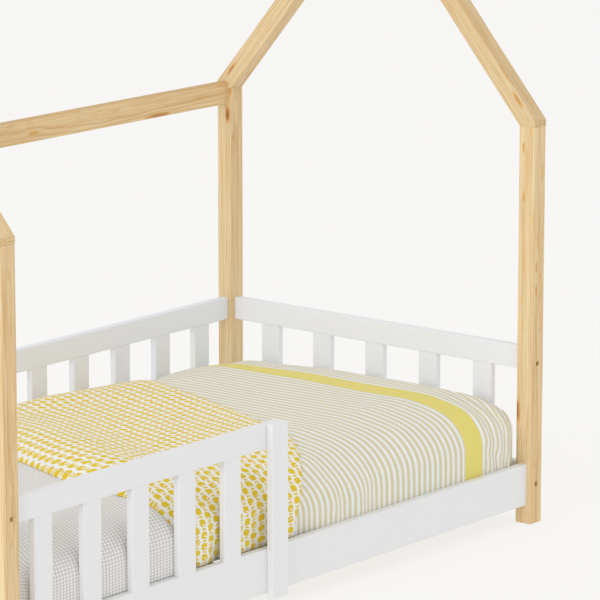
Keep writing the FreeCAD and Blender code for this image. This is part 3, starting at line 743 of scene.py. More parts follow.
sheet_points, sheet_uv, sheet_end_uv, sheet_on_end = soft_box(
    sheet_high.x, sheet_high.y, sheet_high.z - SHEET_UNDER, sheet_low.z
)
sheet_x, sheet_y, sheet_z = np.moveaxis(sheet_points, -1, 0)
throw_hem = np.interp(sheet_z, HEM_HEIGHTS, HEM_PLACES)
free_left = smooth_step(throw_hem + FREE_FROM, throw_hem - FREE_TO, sheet_x)
to_side = smooth_step(*SHOULDER_Y, np.abs(sheet_y))
to_end = smooth_step(*END_X, np.abs(sheet_x))
front_hollow = crease(sheet_x, sheet_z, *HOLLOW) * to_side
ripple = np.sin(sheet_x * RIPPLES + RIPPLE_BEND * np.sin(sheet_x * RIPPLE_SLOW))
ripple = ripple * bell(sheet_z, RIPPLE_Z, RIPPLE_TALL) * to_side
pull_turn = np.arctan2(np.abs(sheet_y) - PULL_Y, PULL_X - np.abs(sheet_x))
pull = np.sin(pull_turn * PULLS) * to_end * to_side
press = bell(sheet_x, PRESS_X, PRESS_LONG) * bell(sheet_y, 0.0, PRESS_WIDE)
sheet_move = SHEET_SWELL * to_side * (1 - END_CALM_SHARE * to_end) - HOLLOW_DEEP * front_hollow
sheet_move = sheet_move * free_left
sheet_move = sheet_move + (RIPPLE_HIGH * ripple - PRESS_DEEP * press) * free_left + PULL_HIGH * pull
sheet_outer = inside_guard(swell(sheet_points, sheet_move), CLEAR)
sheet_outer[..., 2] -= corner_sink(sheet_outer)
sheet_inner = swell(sheet_outer, np.full(sheet_x.shape, -SHEET_THICK))
sheet = closed_sheet(
    "fitted_sheet_cloth", sheet_outer, sheet_inner, sheet_uv, (sheet_end_uv, sheet_on_end.ravel())
)

# %% [markdown]
# Striped coverlet: woven cotton in narrow beige and white stripes with one yellow band. It
# lies over the right half of the bed and is tucked between the mattress and the boards. Its
# UV map holds more cloth than its surface where folds take it up: beside the throw at the
# front, where the stripes lean, and in the gathers at the right end.

# %% Striped coverlet
COVERLET_SWELL = 8.0 * MM
COVERLET_THICK = 1.6 * MM
ROLL_HIGH, GATHER_HIGH, PUCKER_WIDE = 1.5 * MM, 1.9 * MM, 2.6 * MM
GATHER_FROM, GATHER_SHARE = 0.672, 0.42
FREE_BACK_X, FREE_FRONT_X = (0.45, 0.53), (0.06, 0.14)
TOP_Y, TOP_X, FRONT_Y = (0.41, 0.30), (-0.02, 0.10), (0.25, 0.36)
GATHER_X, PUCKER_X, PUCKER_Y, GATHER_Y = (0.64, 0.72), (0.665, 0.70), (0.20, 0.32), (0.22, 0.38)
PAST_SHOULDER_Z, HANGING_Z, FULL_TO_X = (0.284, 0.250), (0.250, 0.165), 0.6
COVERLET_WAVES = ((21, 1.5, 7), (11, 1.1, 6), 5)
GATHERS, GATHER_LEAN = 150, 26
PUCKERS, PUCKER_LEAN, PUCKER_SLOW, PUCKER_SHIFT = 95, 60, 41, 1.0

coverlet_points, coverlet_uv, coverlet_end_uv, coverlet_on_end = soft_box(
    coverlet_high.x, coverlet_high.y, coverlet_high.z, coverlet_low.z
)
grid_x = coverlet_points[:, coverlet_points.shape[1] // 2, 0]
first_column = int(np.argmin(np.abs(grid_x - coverlet_low.x)))
kept = slice(first_column, None)
coverlet_points, coverlet_uv = coverlet_points[kept], coverlet_uv[kept]
coverlet_end_uv, coverlet_on_end = coverlet_end_uv[kept], coverlet_on_end[kept]
cov_x, cov_y, cov_z = np.moveaxis(coverlet_points, -1, 0)
free_right = np.where(cov_y > 0, smooth_step(*FREE_BACK_X, cov_x), smooth_step(*FREE_FRONT_X, cov_x))
coverlet_move = COVERLET_SWELL * smooth_step(*SHOULDER_Y, np.abs(cov_y)) * free_right
on_top = smooth_step(*TOP_Y, np.abs(cov_y)) * smooth_step(*TOP_X, cov_x)
coverlet_move = coverlet_move + ROLL_HIGH * waves(cov_x, cov_y, *COVERLET_WAVES) * on_top
at_corner = smooth_step(*GATHER_X, cov_x) * smooth_step(*CORNER_Y, np.abs(cov_y))
gathers = np.sin(coverlet_uv[..., 0] * GATHERS + cov_z * GATHER_LEAN) * at_corner
coverlet_move = coverlet_move + GATHER_HIGH * gathers

# %% [markdown]
# The coverlet's front side has a few short folds. Each is a line from a start to an end, given
# along the bed and in height, with its width in metres and its rise in millimetres. Each row
# of the fullness table holds a place along the bed and how much cloth the folds have taken up
# there, low down and halfway up.

# %% Folds of the coverlet's front side
FOLDS = (
    ((0.150, 0.205), (0.186, 0.135), 0.011, 2.6),
    ((0.238, 0.185), (0.250, 0.135), 0.010, 2.2),
    ((0.268, 0.245), (0.282, 0.190), 0.010, 1.8),
    ((0.430, 0.255), (0.452, 0.200), 0.016, 1.6),
    ((0.668, 0.255), (0.690, 0.195), 0.010, 2.4),
    ((0.716, 0.250), (0.724, 0.180), 0.010, 2.0),
)
front = smooth_step(*FRONT_Y, -cov_y)
for fold_start, fold_end, width, rise in FOLDS:
    coverlet_move = coverlet_move + rise * MM * crease(cov_x, cov_z, fold_start, fold_end, width) * front
FULLNESS = np.array([
    (0.050, 0.078, 0.042), (0.083, 0.072, 0.034), (0.100, 0.066, 0.031), (0.130, 0.060, 0.026),
    (0.163, 0.057, 0.016), (0.190, 0.045, 0.013), (0.240, 0.042, 0.008), (0.258, 0.039, 0.005),
    (0.270, 0.031, 0.0035), (0.280, 0.025, 0.0035), (0.295, 0.019, 0.0035), (0.330, 0.015, 0.004),
    (0.400, 0.013, 0.005), (0.500, 0.009, 0.004), (0.600, 0.004, 0.0),
])
full_at, low_full, mid_full = FULLNESS.T
past_shoulder = smooth_step(*PAST_SHOULDER_Z, cov_z)
hanging = smooth_step(*HANGING_Z, cov_z)
fullness = np.interp(cov_x, full_at, mid_full) * past_shoulder * (1 - hanging)
fullness = fullness + np.interp(cov_x, full_at, low_full) * hanging
coverlet_uv[..., 0] -= fullness * (cov_y < 0) * (cov_x < FULL_TO_X)
pucker = smooth_step(*PUCKER_X, cov_x) * smooth_step(*PUCKER_Y, np.abs(cov_y))
pucker = pucker * np.sin(cov_z * PUCKERS + cov_x * PUCKER_LEAN)
coverlet_uv[..., 0] += PUCKER_WIDE * pucker * np.sin(cov_z * PUCKER_SLOW + PUCKER_SHIFT)
past_gather = np.maximum(coverlet_uv[..., 0] - GATHER_FROM, 0)
coverlet_uv[..., 0] += GATHER_SHARE * past_gather * smooth_step(*GATHER_Y, np.abs(cov_y))
coverlet_outer = inside_guard(swell(coverlet_points, coverlet_move), CLEAR)
coverlet_outer[..., 2] -= corner_sink(coverlet_outer)
coverlet_inner = swell(coverlet_outer, np.full(cov_x.shape, -COVERLET_THICK))
coverlet = closed_sheet("striped_coverlet_cloth", coverlet_outer, coverlet_inner, coverlet_uv,
                        (coverlet_end_uv, coverlet_on_end.ravel()))

# %% [markdown]
# Printed throw: a light padded cloth that lies askew over the middle of the bed. Its long
# hems are round, and where it hangs at the front it gathers into soft upright folds. Its
# surface is given by two parameters: t runs across the cloth from its left hem to its right
# hem, and s runs along it, measured over the bed's cross section from the middle line.

# %% Where the throw lies
THROW_TURN = math.radians(17.5)
THROW_WIDE = 0.578
throw_columns, throw_lines = 120, 240
OVER_SIDE, OVER_TOP, ABOVE_FLOOR = 0.4 * MM, 0.6 * MM, 2 * MM
EVEN_SHARE = 0.55
HEM_EASE, HEM_PASSES = 22 * MM, 3
HEM_SLOPE = math.tan(math.radians(59))
CORNER_Z = 0.229
NOTCH_HIGH, NOTCH_X, NOTCH_WIDE = 13 * MM, -0.197, 0.008
base_half = coverlet_high.y + OVER_SIDE
base_top = coverlet_high.z + OVER_TOP
level_end = base_half - SIDE_ACROSS
left_hem = np.array([
    (-0.395, -0.187), (-0.14, -0.268), (0.022, -0.314), (0.139, -0.355), (0.290, -0.364),
    (0.350, -0.330), (0.400, -0.322), (0.52, -0.322),
])
right_hem = np.array([
    (-0.395, 0.43), (-0.276, 0.391), (-0.095, 0.335), (0.128, 0.255), (0.246, 0.207),
    (0.33, 0.150), (0.385, 0.095), (0.43, 0.060), (0.475, 0.042), (0.53, 0.038),
])


def hem_curve(table, s):
    """A hem's place along the bed for each length s over the cross section, eased between points."""
    place = np.interp(s, table[:, 0], table[:, 1])
    before = np.interp(s - HEM_EASE, table[:, 0], table[:, 1])
    after = np.interp(s + HEM_EASE, table[:, 0], table[:, 1])
    return (before + 2 * place + after) / 4


def over_bed(s, lift):
    """A point of the bed's cross section at length s from the middle, lifted off it by lift.

    The level top ends at the shoulder, a quarter ellipse, and below it the side hangs upright.
    s is positive to the front and negative to the back.
    """
    side = np.sign(s)
    turn = np.linspace(QUARTER, 0, 500)
    bend = profile_length(SIDE_ACROSS, SIDE_DROP, turn)
    beyond = np.abs(s) - level_end
    angle = np.interp(beyond, bend, turn)
    below = np.maximum(beyond - bend[-1], 0)
    y = np.where(beyond < 0, np.abs(s), level_end + SIDE_ACROSS * np.cos(angle))
    z = np.where(beyond < 0, base_top, base_top - SIDE_DROP * (1 - np.sin(angle)) - below)
    normal_y = np.where(beyond < 0, 0.0, SIDE_DROP * np.cos(angle))
    normal_z = np.where(beyond < 0, 1.0, SIDE_ACROSS * np.sin(angle))
    size = np.hypot(normal_y, normal_z)
    y = y + lift * normal_y / size
    z = z + lift * normal_z / size
    return -side * y, z


bend_long = profile_length(SIDE_ACROSS, SIDE_DROP, 0.0)
side_start = level_end + bend_long
hem_floor = throw_low.z + ABOVE_FLOOR
side_top = base_top - SIDE_DROP
even = np.linspace(0, 1, throw_columns + 1)[:, None]
t = EVEN_SHARE * even + (1 - EVEN_SHARE) * (1 - np.cos(math.pi * even)) / 2
along_share = np.linspace(-1, 1, throw_lines + 1)[None, :]
end_s = np.full_like(t, side_start + side_top - hem_floor)
for _ in range(HEM_PASSES):
    front_x = hem_curve(left_hem, end_s) * (1 - t) + hem_curve(right_hem, end_s) * t
    hem_z = np.maximum(CORNER_Z - (front_x - left_hem[-1, 1]) * HEM_SLOPE, hem_floor)
    hem_z = hem_z + NOTCH_HIGH * bell(front_x, NOTCH_X, NOTCH_WIDE)
    end_s = side_start + side_top - hem_z
front_end = end_s
back_end = front_end[::-1]
s = np.where(along_share > 0, along_share * front_end, along_share * back_end)
x_left = hem_curve(left_hem, s)
x_right = hem_curve(right_hem, s)
throw_x = x_left * (1 - t) + x_right * t
over_long = float((front_end + back_end).max())
print("throw hangs to", round(float(hem_floor), 3), "length over the bed", round(over_long, 3))

# %% [markdown]
# The throw's thickness and folds. The padding runs out round at the hems, so the lift follows
# a quarter circle of the distance from the nearest hem. On top the cloth is fullest towards
# its left hem, and at the back it stands off a little where it turns down. The folds are
# upright hollows that start at the shoulder and deepen on their way down.

# %% Throw
TOP_THICK, SIDE_THICK = 8.8 * MM, 7.4 * MM
TOP_ROUND, SIDE_ROUND = 34 * MM, 15 * MM
LEFT_THICK, LEFT_ROUND = 31 * MM, 135 * MM
BACK_FULL = 17 * MM
UNDER_GAP, LEAST_THICK, LEAST_LIFT = 0.4 * MM, 0.5 * MM, 0.3 * MM
VALLEY_DEEP, WRINKLE_DEEP, POCKET_DEEP, SOFT_ROLL = 5.2 * MM, 3.0 * MM, 4.0 * MM, 1.8 * MM
FRONT_VALLEYS = ((-0.200, 0.026, 1.0), (-0.082, 0.024, 0.9), (-0.276, 0.020, 0.6))
BACK_VALLEYS = ((0.17, 0.03, 1.0), (0.06, 0.03, 1.0))
WRINKLES = (
    ((-0.125, 0.172), (-0.050, 0.120), 0.009, 1.0),
    ((-0.150, 0.215), (-0.110, 0.165), 0.011, 0.8),
    ((-0.330, 0.262), (-0.285, 0.205), 0.012, 0.9),
)
POCKET = ((-0.205, 0.150), (-0.196, 0.128), 0.014)
HANG_FROM, HANG_TO = 70 * MM, 10 * MM
LEFT_ACROSS_SHARES, LEFT_BACK, LEFT_FRONT = (0.50, 0.12), (-0.32, -0.08), (0.34, 0.20)
ON_SHEET_X, SINK_SIDE, SINK_TOP = (-0.10, -0.06), 1.5 * MM, 3.6 * MM
BACK_SKEW, BACK_SHARP, BACK_CALM_SHARE = 1.15, 1.4, 0.75
BACK_CALM_X, BACK_HEM = (0.12, 0.40), (-0.02, 0.17)
VALLEY_TOP_SHARE, VALLEY_Z = 0.45, (0.26, 0.15)
THROW_WAVES = ((24, 1.7, 9), (17, 1.3, 8), 0)
TURN_AT, TURN_OVER = -0.12, 0.36


def upright_folds(places):
    """Bells side by side along the bed, each at a place with a width and a share of the depth."""
    return sum(share * bell(throw_x, at, width) for at, width, share in places)


hem_away = np.minimum(t * THROW_WIDE, (1 - t) * THROW_WIDE) + 0 * s
end_away = np.minimum(front_end - s, s + back_end)
hang = smooth_step(level_end + HANG_FROM, side_start + HANG_TO, np.abs(s))
full_left = smooth_step(*LEFT_ACROSS_SHARES, t) * smooth_step(*LEFT_BACK, s) * smooth_step(*LEFT_FRONT, s)
top_thick = TOP_THICK + (LEFT_THICK - TOP_THICK) * full_left
top_round = TOP_ROUND + (LEFT_ROUND - TOP_ROUND) * np.minimum(full_left * 1.5, 1) * (t < 0.5)
hem_round = top_round + (SIDE_ROUND - top_round) * hang
edge_away = np.minimum(hem_away / hem_round, end_away / SIDE_ROUND)
round_share = np.sqrt(np.clip(1 - (1 - np.clip(edge_away, 0, 1)) ** 2, 0.0, 1))
on_sheet = 1 - smooth_step(*ON_SHEET_X, throw_x)
sink = (SINK_SIDE + (SINK_TOP - SINK_SIDE) * (1 - hang)) * on_sheet
through_bend = np.clip((np.abs(s) - level_end) / bend_long, 0, 1)
full = np.where(s < 0, BACK_FULL * np.sin(math.pi * through_bend ** BACK_SKEW) ** BACK_SHARP, 0.0)
full = full * (1 - BACK_CALM_SHARE * smooth_step(*BACK_CALM_X, throw_x)) * (1 - full_left)
full = full * smooth_step(*BACK_HEM, hem_away)
thick = (top_thick + sink + (SIDE_THICK - top_thick) * hang) * round_share
valleys = np.where(s > 0, upright_folds(FRONT_VALLEYS), upright_folds(BACK_VALLEYS))
bed_z = over_bed(s, 0.0)[1]
valleys = valleys * (VALLEY_TOP_SHARE + (1 - VALLEY_TOP_SHARE) * smooth_step(*VALLEY_Z, bed_z))
wrinkles = sum(share * crease(throw_x, bed_z, start, end, width) for start, end, width, share in WRINKLES)
pocket = crease(throw_x, bed_z, *POCKET)
fold = (VALLEY_DEEP * valleys + np.where(s > 0, WRINKLE_DEEP * wrinkles + POCKET_DEEP * pocket, 0.0)) * hang
soft = SOFT_ROLL * waves(throw_x, s, *THROW_WAVES) * (1 - hang) * np.clip(edge_away / 3, 0, 1)
under = UNDER_GAP - sink
upper_lift = np.maximum(thick + full * round_share - fold + soft, LEAST_THICK * round_share)
upper_lift = upper_lift + LEAST_LIFT + under
outer_y, outer_z = over_bed(s, upper_lift)
inner_y, inner_z = over_bed(s, under)
throw_outer = inside_guard(np.stack([throw_x, outer_y, outer_z], -1), CLEAR)
throw_inner = np.stack([throw_x, inner_y, inner_z], -1)

# %% [markdown]
# The throw's print lies square to the cloth, which is turned on the bed. Where it hangs at the
# front, gravity has drawn it straight again, so the turn fades out from the middle line to
# the shoulder, and slipped is the integral of that fade, so that the print isn't stretched.

# %% The throw's cloth map and mesh
bending = np.clip(s / TURN_OVER, 0, 1)
turned = 1 - bending ** 2 * (3 - 2 * bending)
slipped = np.minimum(s, 0) + TURN_OVER * (bending - bending ** 3 + bending ** 4 / 2)
cloth_across = throw_x * (1 - turned * (1 - math.cos(THROW_TURN))) + math.sin(THROW_TURN) * slipped
cloth_long = s * math.cos(THROW_TURN) - (throw_x - TURN_AT) * turned * math.sin(THROW_TURN)
throw_uv = np.stack([cloth_across, cloth_long], -1)
throw_hem_away = np.minimum(hem_away, end_away)
throw = closed_sheet("print_throw_cloth", throw_outer[:, ::-1], throw_inner[:, ::-1], throw_uv[:, ::-1],
                     hem=throw_hem_away[:, ::-1])

# %% [markdown]
# Cotton. All three cloths share a plain weave, made of two sets of fine ridges that pass over
# and under each other. The colour pattern is laid on the cloth's own UV map, in metres, so it
# bends and hangs with the cloth. A little sheen stands for the fibres that stick out.


# %% The weave that the cloths share
SHEET_THREAD, FINE_THREAD = 0.7 * MM, 0.8 * MM
CRUMPLE_HIGH, THREAD_HIGH = 6 * MM, 0.4 * MM
CRUMPLES, DRIFTS = 38.0, 9.0


def weave_height(cloth, u, v, thread):
    """The sum of two sets of ridges, |sin u| and |sin v|, each one thread wide."""
    warp = cloth.math("SINE", cloth.math("MULTIPLY", u, math.tau / (2 * thread)))
    weft = cloth.math("SINE", cloth.math("MULTIPLY", v, math.tau / (2 * thread)))
    return cloth.math("ADD", cloth.math("ABSOLUTE", warp), cloth.math("ABSOLUTE", weft))


def start_cloth(name, thread, wobble):
    """A cotton recipe with its u and v in metres, slightly wobbled, and its woven relief."""
    cloth = Recipe(name, roughness=0.85, specular=0.15, sheen=0.05)
    cloth.shader.inputs["Sheen Roughness"].default_value = 0.5
    flat = cloth.cloth()
    drift = cloth.add("ShaderNodeTexNoise", flat, None, DRIFTS, output=1)
    loose = cloth.vector("SUBTRACT", drift, (0.5, 0.5, 0.5))
    moved = cloth.vector("ADD", flat, cloth.vector("MULTIPLY", loose, (wobble, wobble, 0.0)))
    u, v = cloth.split(moved)[:2]
    crumple = cloth.noise(flat, CRUMPLES, 3.0)
    relief = cloth.bump(weave_height(cloth, u, v, thread), 0.25, THREAD_HIGH)
    relief = cloth.bump(crumple, 0.18, CRUMPLE_HIGH, relief)
    return cloth, u, v, relief


def stripe(cloth, value, period, share, soft):
    """1 on the first part (share) of each period, with edges softened over soft periods."""
    phase = cloth.math("FRACT", cloth.math("DIVIDE", value, period))
    middle = cloth.math("ABSOLUTE", cloth.math("SUBTRACT", phase, share / 2))
    wrapped = cloth.math("MINIMUM", middle, cloth.math("SUBTRACT", 1.0, middle))
    return cloth.fade(wrapped, share / 2 - soft, share / 2 + soft, 1.0, 0.0)


# %% [markdown]
# Each line is a few darker threads, and where two cross it is darker still.

# %% Checked sheeting
CHECK_U, CHECK_V = 9.2 * MM, 6.0 * MM
LINE_SHARE, LINE_SOFT_SHARE = 0.42, 0.12
SHEET_WHITE, SHEET_LINE, CROSS_LINE = (0.90, 0.89, 0.87), (0.69, 0.68, 0.655), (0.79, 0.785, 0.77)
check, check_u, check_v, check_relief = start_cloth("checked_sheeting", SHEET_THREAD, 1.2 * MM)
lines_u = stripe(check, check_u, CHECK_U, LINE_SHARE, LINE_SOFT_SHARE)
lines_v = stripe(check, check_v, CHECK_V, LINE_SHARE, LINE_SOFT_SHARE)
lined = check.mix(lines_u, SHEET_WHITE, SHEET_LINE)
check_colour = check.mix(check.math("MULTIPLY", lines_v, 0.9), lined, CROSS_LINE, "MULTIPLY")
checked_sheeting = check.finish(check_colour, None, check_relief)
sheet.data.materials.append(checked_sheeting)

# %% [markdown]
# The coverlet's stripes run across the bed, beige and white by turns, a little under 2 cm a
# pair. One wide yellow band crosses near the right end. All are woven in, so their edges
# are straight and slightly soft.

# %% Striped cotton
STRIPE_PERIOD, STRIPE_START = 18.9 * MM, 4 * MM
BEIGE_SHARE, STRIPE_SOFT_SHARE = 0.56, 0.035
BAND_FROM, BAND_TO = 0.6065, 0.6659
STRIPE_WHITE, BEIGE, BEIGE_PALE = (0.86, 0.865, 0.885), (0.675, 0.62, 0.40), (0.73, 0.68, 0.46)
BAND_YELLOW, BAND_PALE = (0.78, 0.675, 0.175), (0.82, 0.72, 0.225)
SLUB = (1500.0, 90.0, 1.0)
stripes, stripe_u, _, stripe_relief = start_cloth("striped_cotton", FINE_THREAD, 3.5 * MM)
stripe_from = stripes.math("ADD", stripe_u, STRIPE_START)
beige = stripe(stripes, stripe_from, STRIPE_PERIOD, BEIGE_SHARE, STRIPE_SOFT_SHARE)
slub = stripes.noise(stripes.cloth(), 1.0, 2.0, stretch=SLUB)
beige_tone = stripes.mix(slub, BEIGE, BEIGE_PALE)
stripe_colour = stripes.mix(beige, STRIPE_WHITE, beige_tone)
band = stripes.between(stripe_u, BAND_FROM, BAND_TO)
band_tone = stripes.mix(slub, BAND_YELLOW, BAND_PALE)
stripe_colour = stripes.mix(band, stripe_colour, band_tone)
striped_cotton = stripes.finish(stripe_colour, None, stripe_relief)
coverlet.data.materials.append(striped_cotton)

# %% [markdown]
# The throw's print is a plain design of its own: rounded dabs in a half-drop layout with
# short dashes between their rows, in golden yellow on white. Each dab leans its own way, some
# have a notch, and noise roughens their edges and thins their colour, as a block print does.

# %% Printed cotton
printed, print_u, print_v, print_relief = start_cloth("printed_cotton", FINE_THREAD, 2.5 * MM)
PRINT_WHITE = (0.885, 0.88, 0.865)
PRINT_YELLOW = (0.775, 0.565, 0.008)
DAB_ACROSS, DAB_ALONG = 22 * MM, 21 * MM
DAB_SHARES, DASH_SHARES = (0.315, 0.405), (0.085, 0.26)
DAB_LEAN, DASH_LEAN = 0.34, 0.30
WHOLE_SHARE, NOTCH_SPREAD_SHARE, NOTCH_SHARES, NOTCH_END_SHARE = 0.33, 0.45, (0.030, 0.065), -0.06
BLEED, INK_EDGE, INK_ROUGH, INK_THIN = 2.2, (0.80, 1.15), 420.0, 700.0
THIN_PATCHES, OTHER_CHANCE = (0.3, 0.75, 1.0, 0.95), (7.3, 2.9, 0.0)


def motif(recipe, u, v, half_shares, lean, notched):
    """Dabs on a half-drop grid: 1 inside. Each is |x/a|^3 + |y/b|^3 < 1, turned by a chance angle,
    and where notched is asked two in three have a slanting notch. Shares are of the pitch."""
    row = recipe.math("FLOOR", v)
    drop = recipe.math("FRACT", recipe.math("MULTIPLY", row, 0.5))
    across = recipe.math("ADD", u, drop)
    cell = recipe.join(recipe.math("FLOOR", across), row)
    chance = recipe.add("ShaderNodeTexWhiteNoise", cell, noise_dimensions="3D")
    shifted = recipe.vector("ADD", cell, OTHER_CHANCE)
    other = recipe.add("ShaderNodeTexWhiteNoise", shifted, noise_dimensions="3D")
    x = recipe.around_zero(recipe.math("FRACT", across))
    y = recipe.around_zero(recipe.math("FRACT", v))
    tilt = recipe.around_zero(chance)
    turn = recipe.math("MULTIPLY", tilt, 2 * lean)
    cos, sin = recipe.math("COSINE", turn), recipe.math("SINE", turn)
    long_way = recipe.math("ADD", recipe.math("MULTIPLY", x, cos), recipe.math("MULTIPLY", y, sin))
    short_way = recipe.math("SUBTRACT", recipe.math("MULTIPLY", y, cos), recipe.math("MULTIPLY", x, sin))
    a, b = (
        recipe.math("POWER", recipe.math("ABSOLUTE", recipe.math("DIVIDE", way, half)), 3.0)
        for way, half in zip((long_way, short_way), half_shares)
    )
    bleed = recipe.around_zero(recipe.noise(recipe.cloth(), INK_ROUGH, 2.0))
    ragged = recipe.math("MULTIPLY", bleed, BLEED)
    dab = recipe.fade(recipe.math("ADD", recipe.math("ADD", a, b), ragged), *INK_EDGE, 1.0, 0.0)
    if not notched:
        return dab
    slant = recipe.math("ADD", long_way, recipe.math("MULTIPLY", short_way, tilt))
    gap_at = recipe.math("MULTIPLY", recipe.math("SUBTRACT", other, WHOLE_SHARE), NOTCH_SPREAD_SHARE)
    gap = recipe.math("ABSOLUTE", recipe.math("SUBTRACT", slant, gap_at))
    whole = recipe.math("LESS_THAN", other, WHOLE_SHARE)
    whole = recipe.math("MAXIMUM", whole, recipe.math("LESS_THAN", short_way, NOTCH_END_SHARE))
    kept_ink = recipe.math("MAXIMUM", recipe.fade(gap, *NOTCH_SHARES), whole)
    return recipe.math("MULTIPLY", dab, kept_ink)


columns = printed.math("DIVIDE", print_u, DAB_ACROSS)
places = printed.math("DIVIDE", print_v, DAB_ALONG)
dabs = motif(printed, places, columns, DAB_SHARES, DAB_LEAN, True)
dashes = motif(printed, printed.math("ADD", places, 0.5), columns, DASH_SHARES, DASH_LEAN, False)
ink = printed.math("MAXIMUM", dabs, dashes)
density = printed.fade(printed.noise(printed.cloth(), INK_THIN, 2.0), *THIN_PATCHES)
print_colour = printed.mix(printed.math("MULTIPLY", ink, density), PRINT_WHITE, PRINT_YELLOW)

# %% [markdown]
# A seam runs round the throw a little inside its hems. Its stitches follow the hem distance
# that the mesh carries, and the padding dips along them.

# %% The throw's stitched hem
SEAM_IN, STITCH, STITCH_SHARE, STITCH_SOFT_SHARE = 9 * MM, 4.2 * MM, 0.7, 0.08
THREAD_HALF, THREAD_FADE, SEAM_DIP, SEAM_WIDE = 0.4 * MM, 0.8 * MM, 1.2 * MM, 2.4 * MM
THREAD_COLOUR = (0.90, 0.88, 0.82)
hem = printed.add("ShaderNodeAttribute", output=2, attribute_name="hem")
from_seam = printed.math("ABSOLUTE", printed.math("SUBTRACT", hem, SEAM_IN))
along_seam = printed.math("ADD", print_u, print_v)
stitches = stripe(printed, along_seam, STITCH, STITCH_SHARE, STITCH_SOFT_SHARE)
on_seam = printed.fade(from_seam, THREAD_HALF, THREAD_FADE, 1.0, 0.0)
thread = printed.math("MULTIPLY", stitches, on_seam)
print_colour = printed.mix(thread, print_colour, THREAD_COLOUR)
seam_height = printed.math("ADD", printed.fade(from_seam, THREAD_FADE, SEAM_WIDE), thread)
seam_relief = printed.bump(seam_height, 0.6, SEAM_DIP, print_relief)
printed_cotton = printed.finish(print_colour, None, seam_relief)
throw.data.materials.append(printed_cotton)

# %% [markdown]
# Mattress: a foam core in a knitted cover. It is simulated as cloth under a little pressure,
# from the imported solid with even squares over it, so its long faces swell and its corners
# stay drawn in. A cap keeps every point within a few millimetres of the start.

# %% Mattress
MATTRESS_VOXEL = 14 * MM
MATTRESS_CLEAR, MATTRESS_CAP = 7 * MM, 2.5 * MM
CORNER_DROP, CORNER_X = 6 * MM, (0.62, 0.76)
PRESSURE, FRAMES, TENSION, BENDING = 4.0, 20, 12, 4
TICKING_DARK, TICKING_PALE = (0.80, 0.79, 0.75), (0.88, 0.87, 0.84)
LOOPS, TICKING_RELIEF = 1900.0, 0.8 * MM


def even_copy(node, name, voxel):
    """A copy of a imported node's mesh, merged and remeshed into even squares."""
    piece = nodes[node].copy()
    piece.data = nodes[node].data.copy()
    piece.name = piece.data.name = name
    piece.parent = None
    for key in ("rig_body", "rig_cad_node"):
        del piece[key]
    bpy.context.scene.collection.objects.link(piece)
    remesh = piece.modifiers.new("even", "REMESH")
    remesh.mode = "VOXEL"
    remesh.voxel_size = voxel
    apply_modifiers(piece)
    return piece


def apply_modifiers(piece):
    """Puts what the modifiers make into the mesh, and takes them off."""
    graph = bpy.context.evaluated_depsgraph_get()
    final = bpy.data.meshes.new_from_object(piece.evaluated_get(graph))
    piece.modifiers.clear()
    old = piece.data
    piece.data = final
    bpy.data.meshes.remove(old)


def positions(piece):
    """The mesh's points as an array (n, 3)."""
    values = np.zeros(len(piece.data.vertices) * 3, np.float32)
    piece.data.vertices.foreach_get("co", values)
    return values.reshape(-1, 3)


def inflate(piece, pressure, frames, cap):
    """Cloth under pressure with no gravity, stepped frame by frame; no point moves further than cap."""
    before = positions(piece)
    cloth = piece.modifiers.new("cloth", "CLOTH")
    cloth.settings.use_pressure = True
    cloth.settings.uniform_pressure_force = pressure
    cloth.settings.effector_weights.gravity = 0
    cloth.settings.tension_stiffness = TENSION
    cloth.settings.bending_stiffness = BENDING
    cloth.point_cache.frame_end = frames
    for step in range(1, frames + 1):
        bpy.context.scene.frame_set(step)
    apply_modifiers(piece)
    bpy.context.scene.frame_set(1)
    moved = positions(piece) - before
    size = np.linalg.norm(moved, axis=1, keepdims=True)
    capped = before + moved * np.minimum(1, cap / np.maximum(size, 1e-9))
    piece.data.vertices.foreach_set("co", capped.astype(np.float32).ravel())
    piece.data.update()
    print(piece.name, "swelled by up to", round(float(size.max()) * 1000, 1), "mm before the cap")


mattress = even_copy("mattress", "foam_mattress", MATTRESS_VOXEL)
start = positions(mattress)
centre = (start.min(0) + start.max(0)) / 2
extent = start.max(0) - start.min(0)
shrunk = centre + (start - centre) * (1 - 2 * MATTRESS_CLEAR / extent)
from_middle = np.abs(shrunk)
corners = smooth_step(*CORNER_X, from_middle[:, 0]) * smooth_step(*CORNER_Y, from_middle[:, 1])
shrunk[:, 2] -= corner_sink(shrunk) + CORNER_DROP * corners * smooth_step(*SINK_Z, shrunk[:, 2])
mattress.data.vertices.foreach_set("co", shrunk.astype(np.float32).ravel())
inflate(mattress, PRESSURE, FRAMES, MATTRESS_CAP)
mattress.data.polygons.foreach_set("use_smooth", np.ones(len(mattress.data.polygons), bool))

ticking = Recipe("mattress_ticking", roughness=0.85, specular=0.15, sheen=0.1)
tick_x, tick_y, tick_z = ticking.split(ticking.place())
loops, rows = (
    ticking.math("SINE", ticking.math("MULTIPLY", way, LOOPS))
    for way in (tick_x, ticking.math("ADD", tick_y, tick_z))
)
knit = ticking.math("MULTIPLY", loops, rows)
tick_colour = ticking.mix(ticking.fade(knit, -1.0, 1.0), TICKING_DARK, TICKING_PALE)
mattress.data.materials.clear()
tick_relief = ticking.bump(knit, 0.4, TICKING_RELIEF)
mattress.data.materials.append(ticking.finish(tick_colour, None, tick_relief))

# %% [markdown]
# Each soft piece now moves with the bedding body, and the imported node that it stands
# for is hidden.

# %% Put the soft pieces in the bedding body
for piece, node, slot_name in (
    (mattress, "mattress", "mattress_ticking"),
    (sheet, "fitted_sheet", "checked_sheeting"),
    (coverlet, "striped_coverlet", "striped_cotton"),
    (throw, "print_throw", "printed_cotton"),
):
    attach(piece, "bedding")
    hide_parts(node)

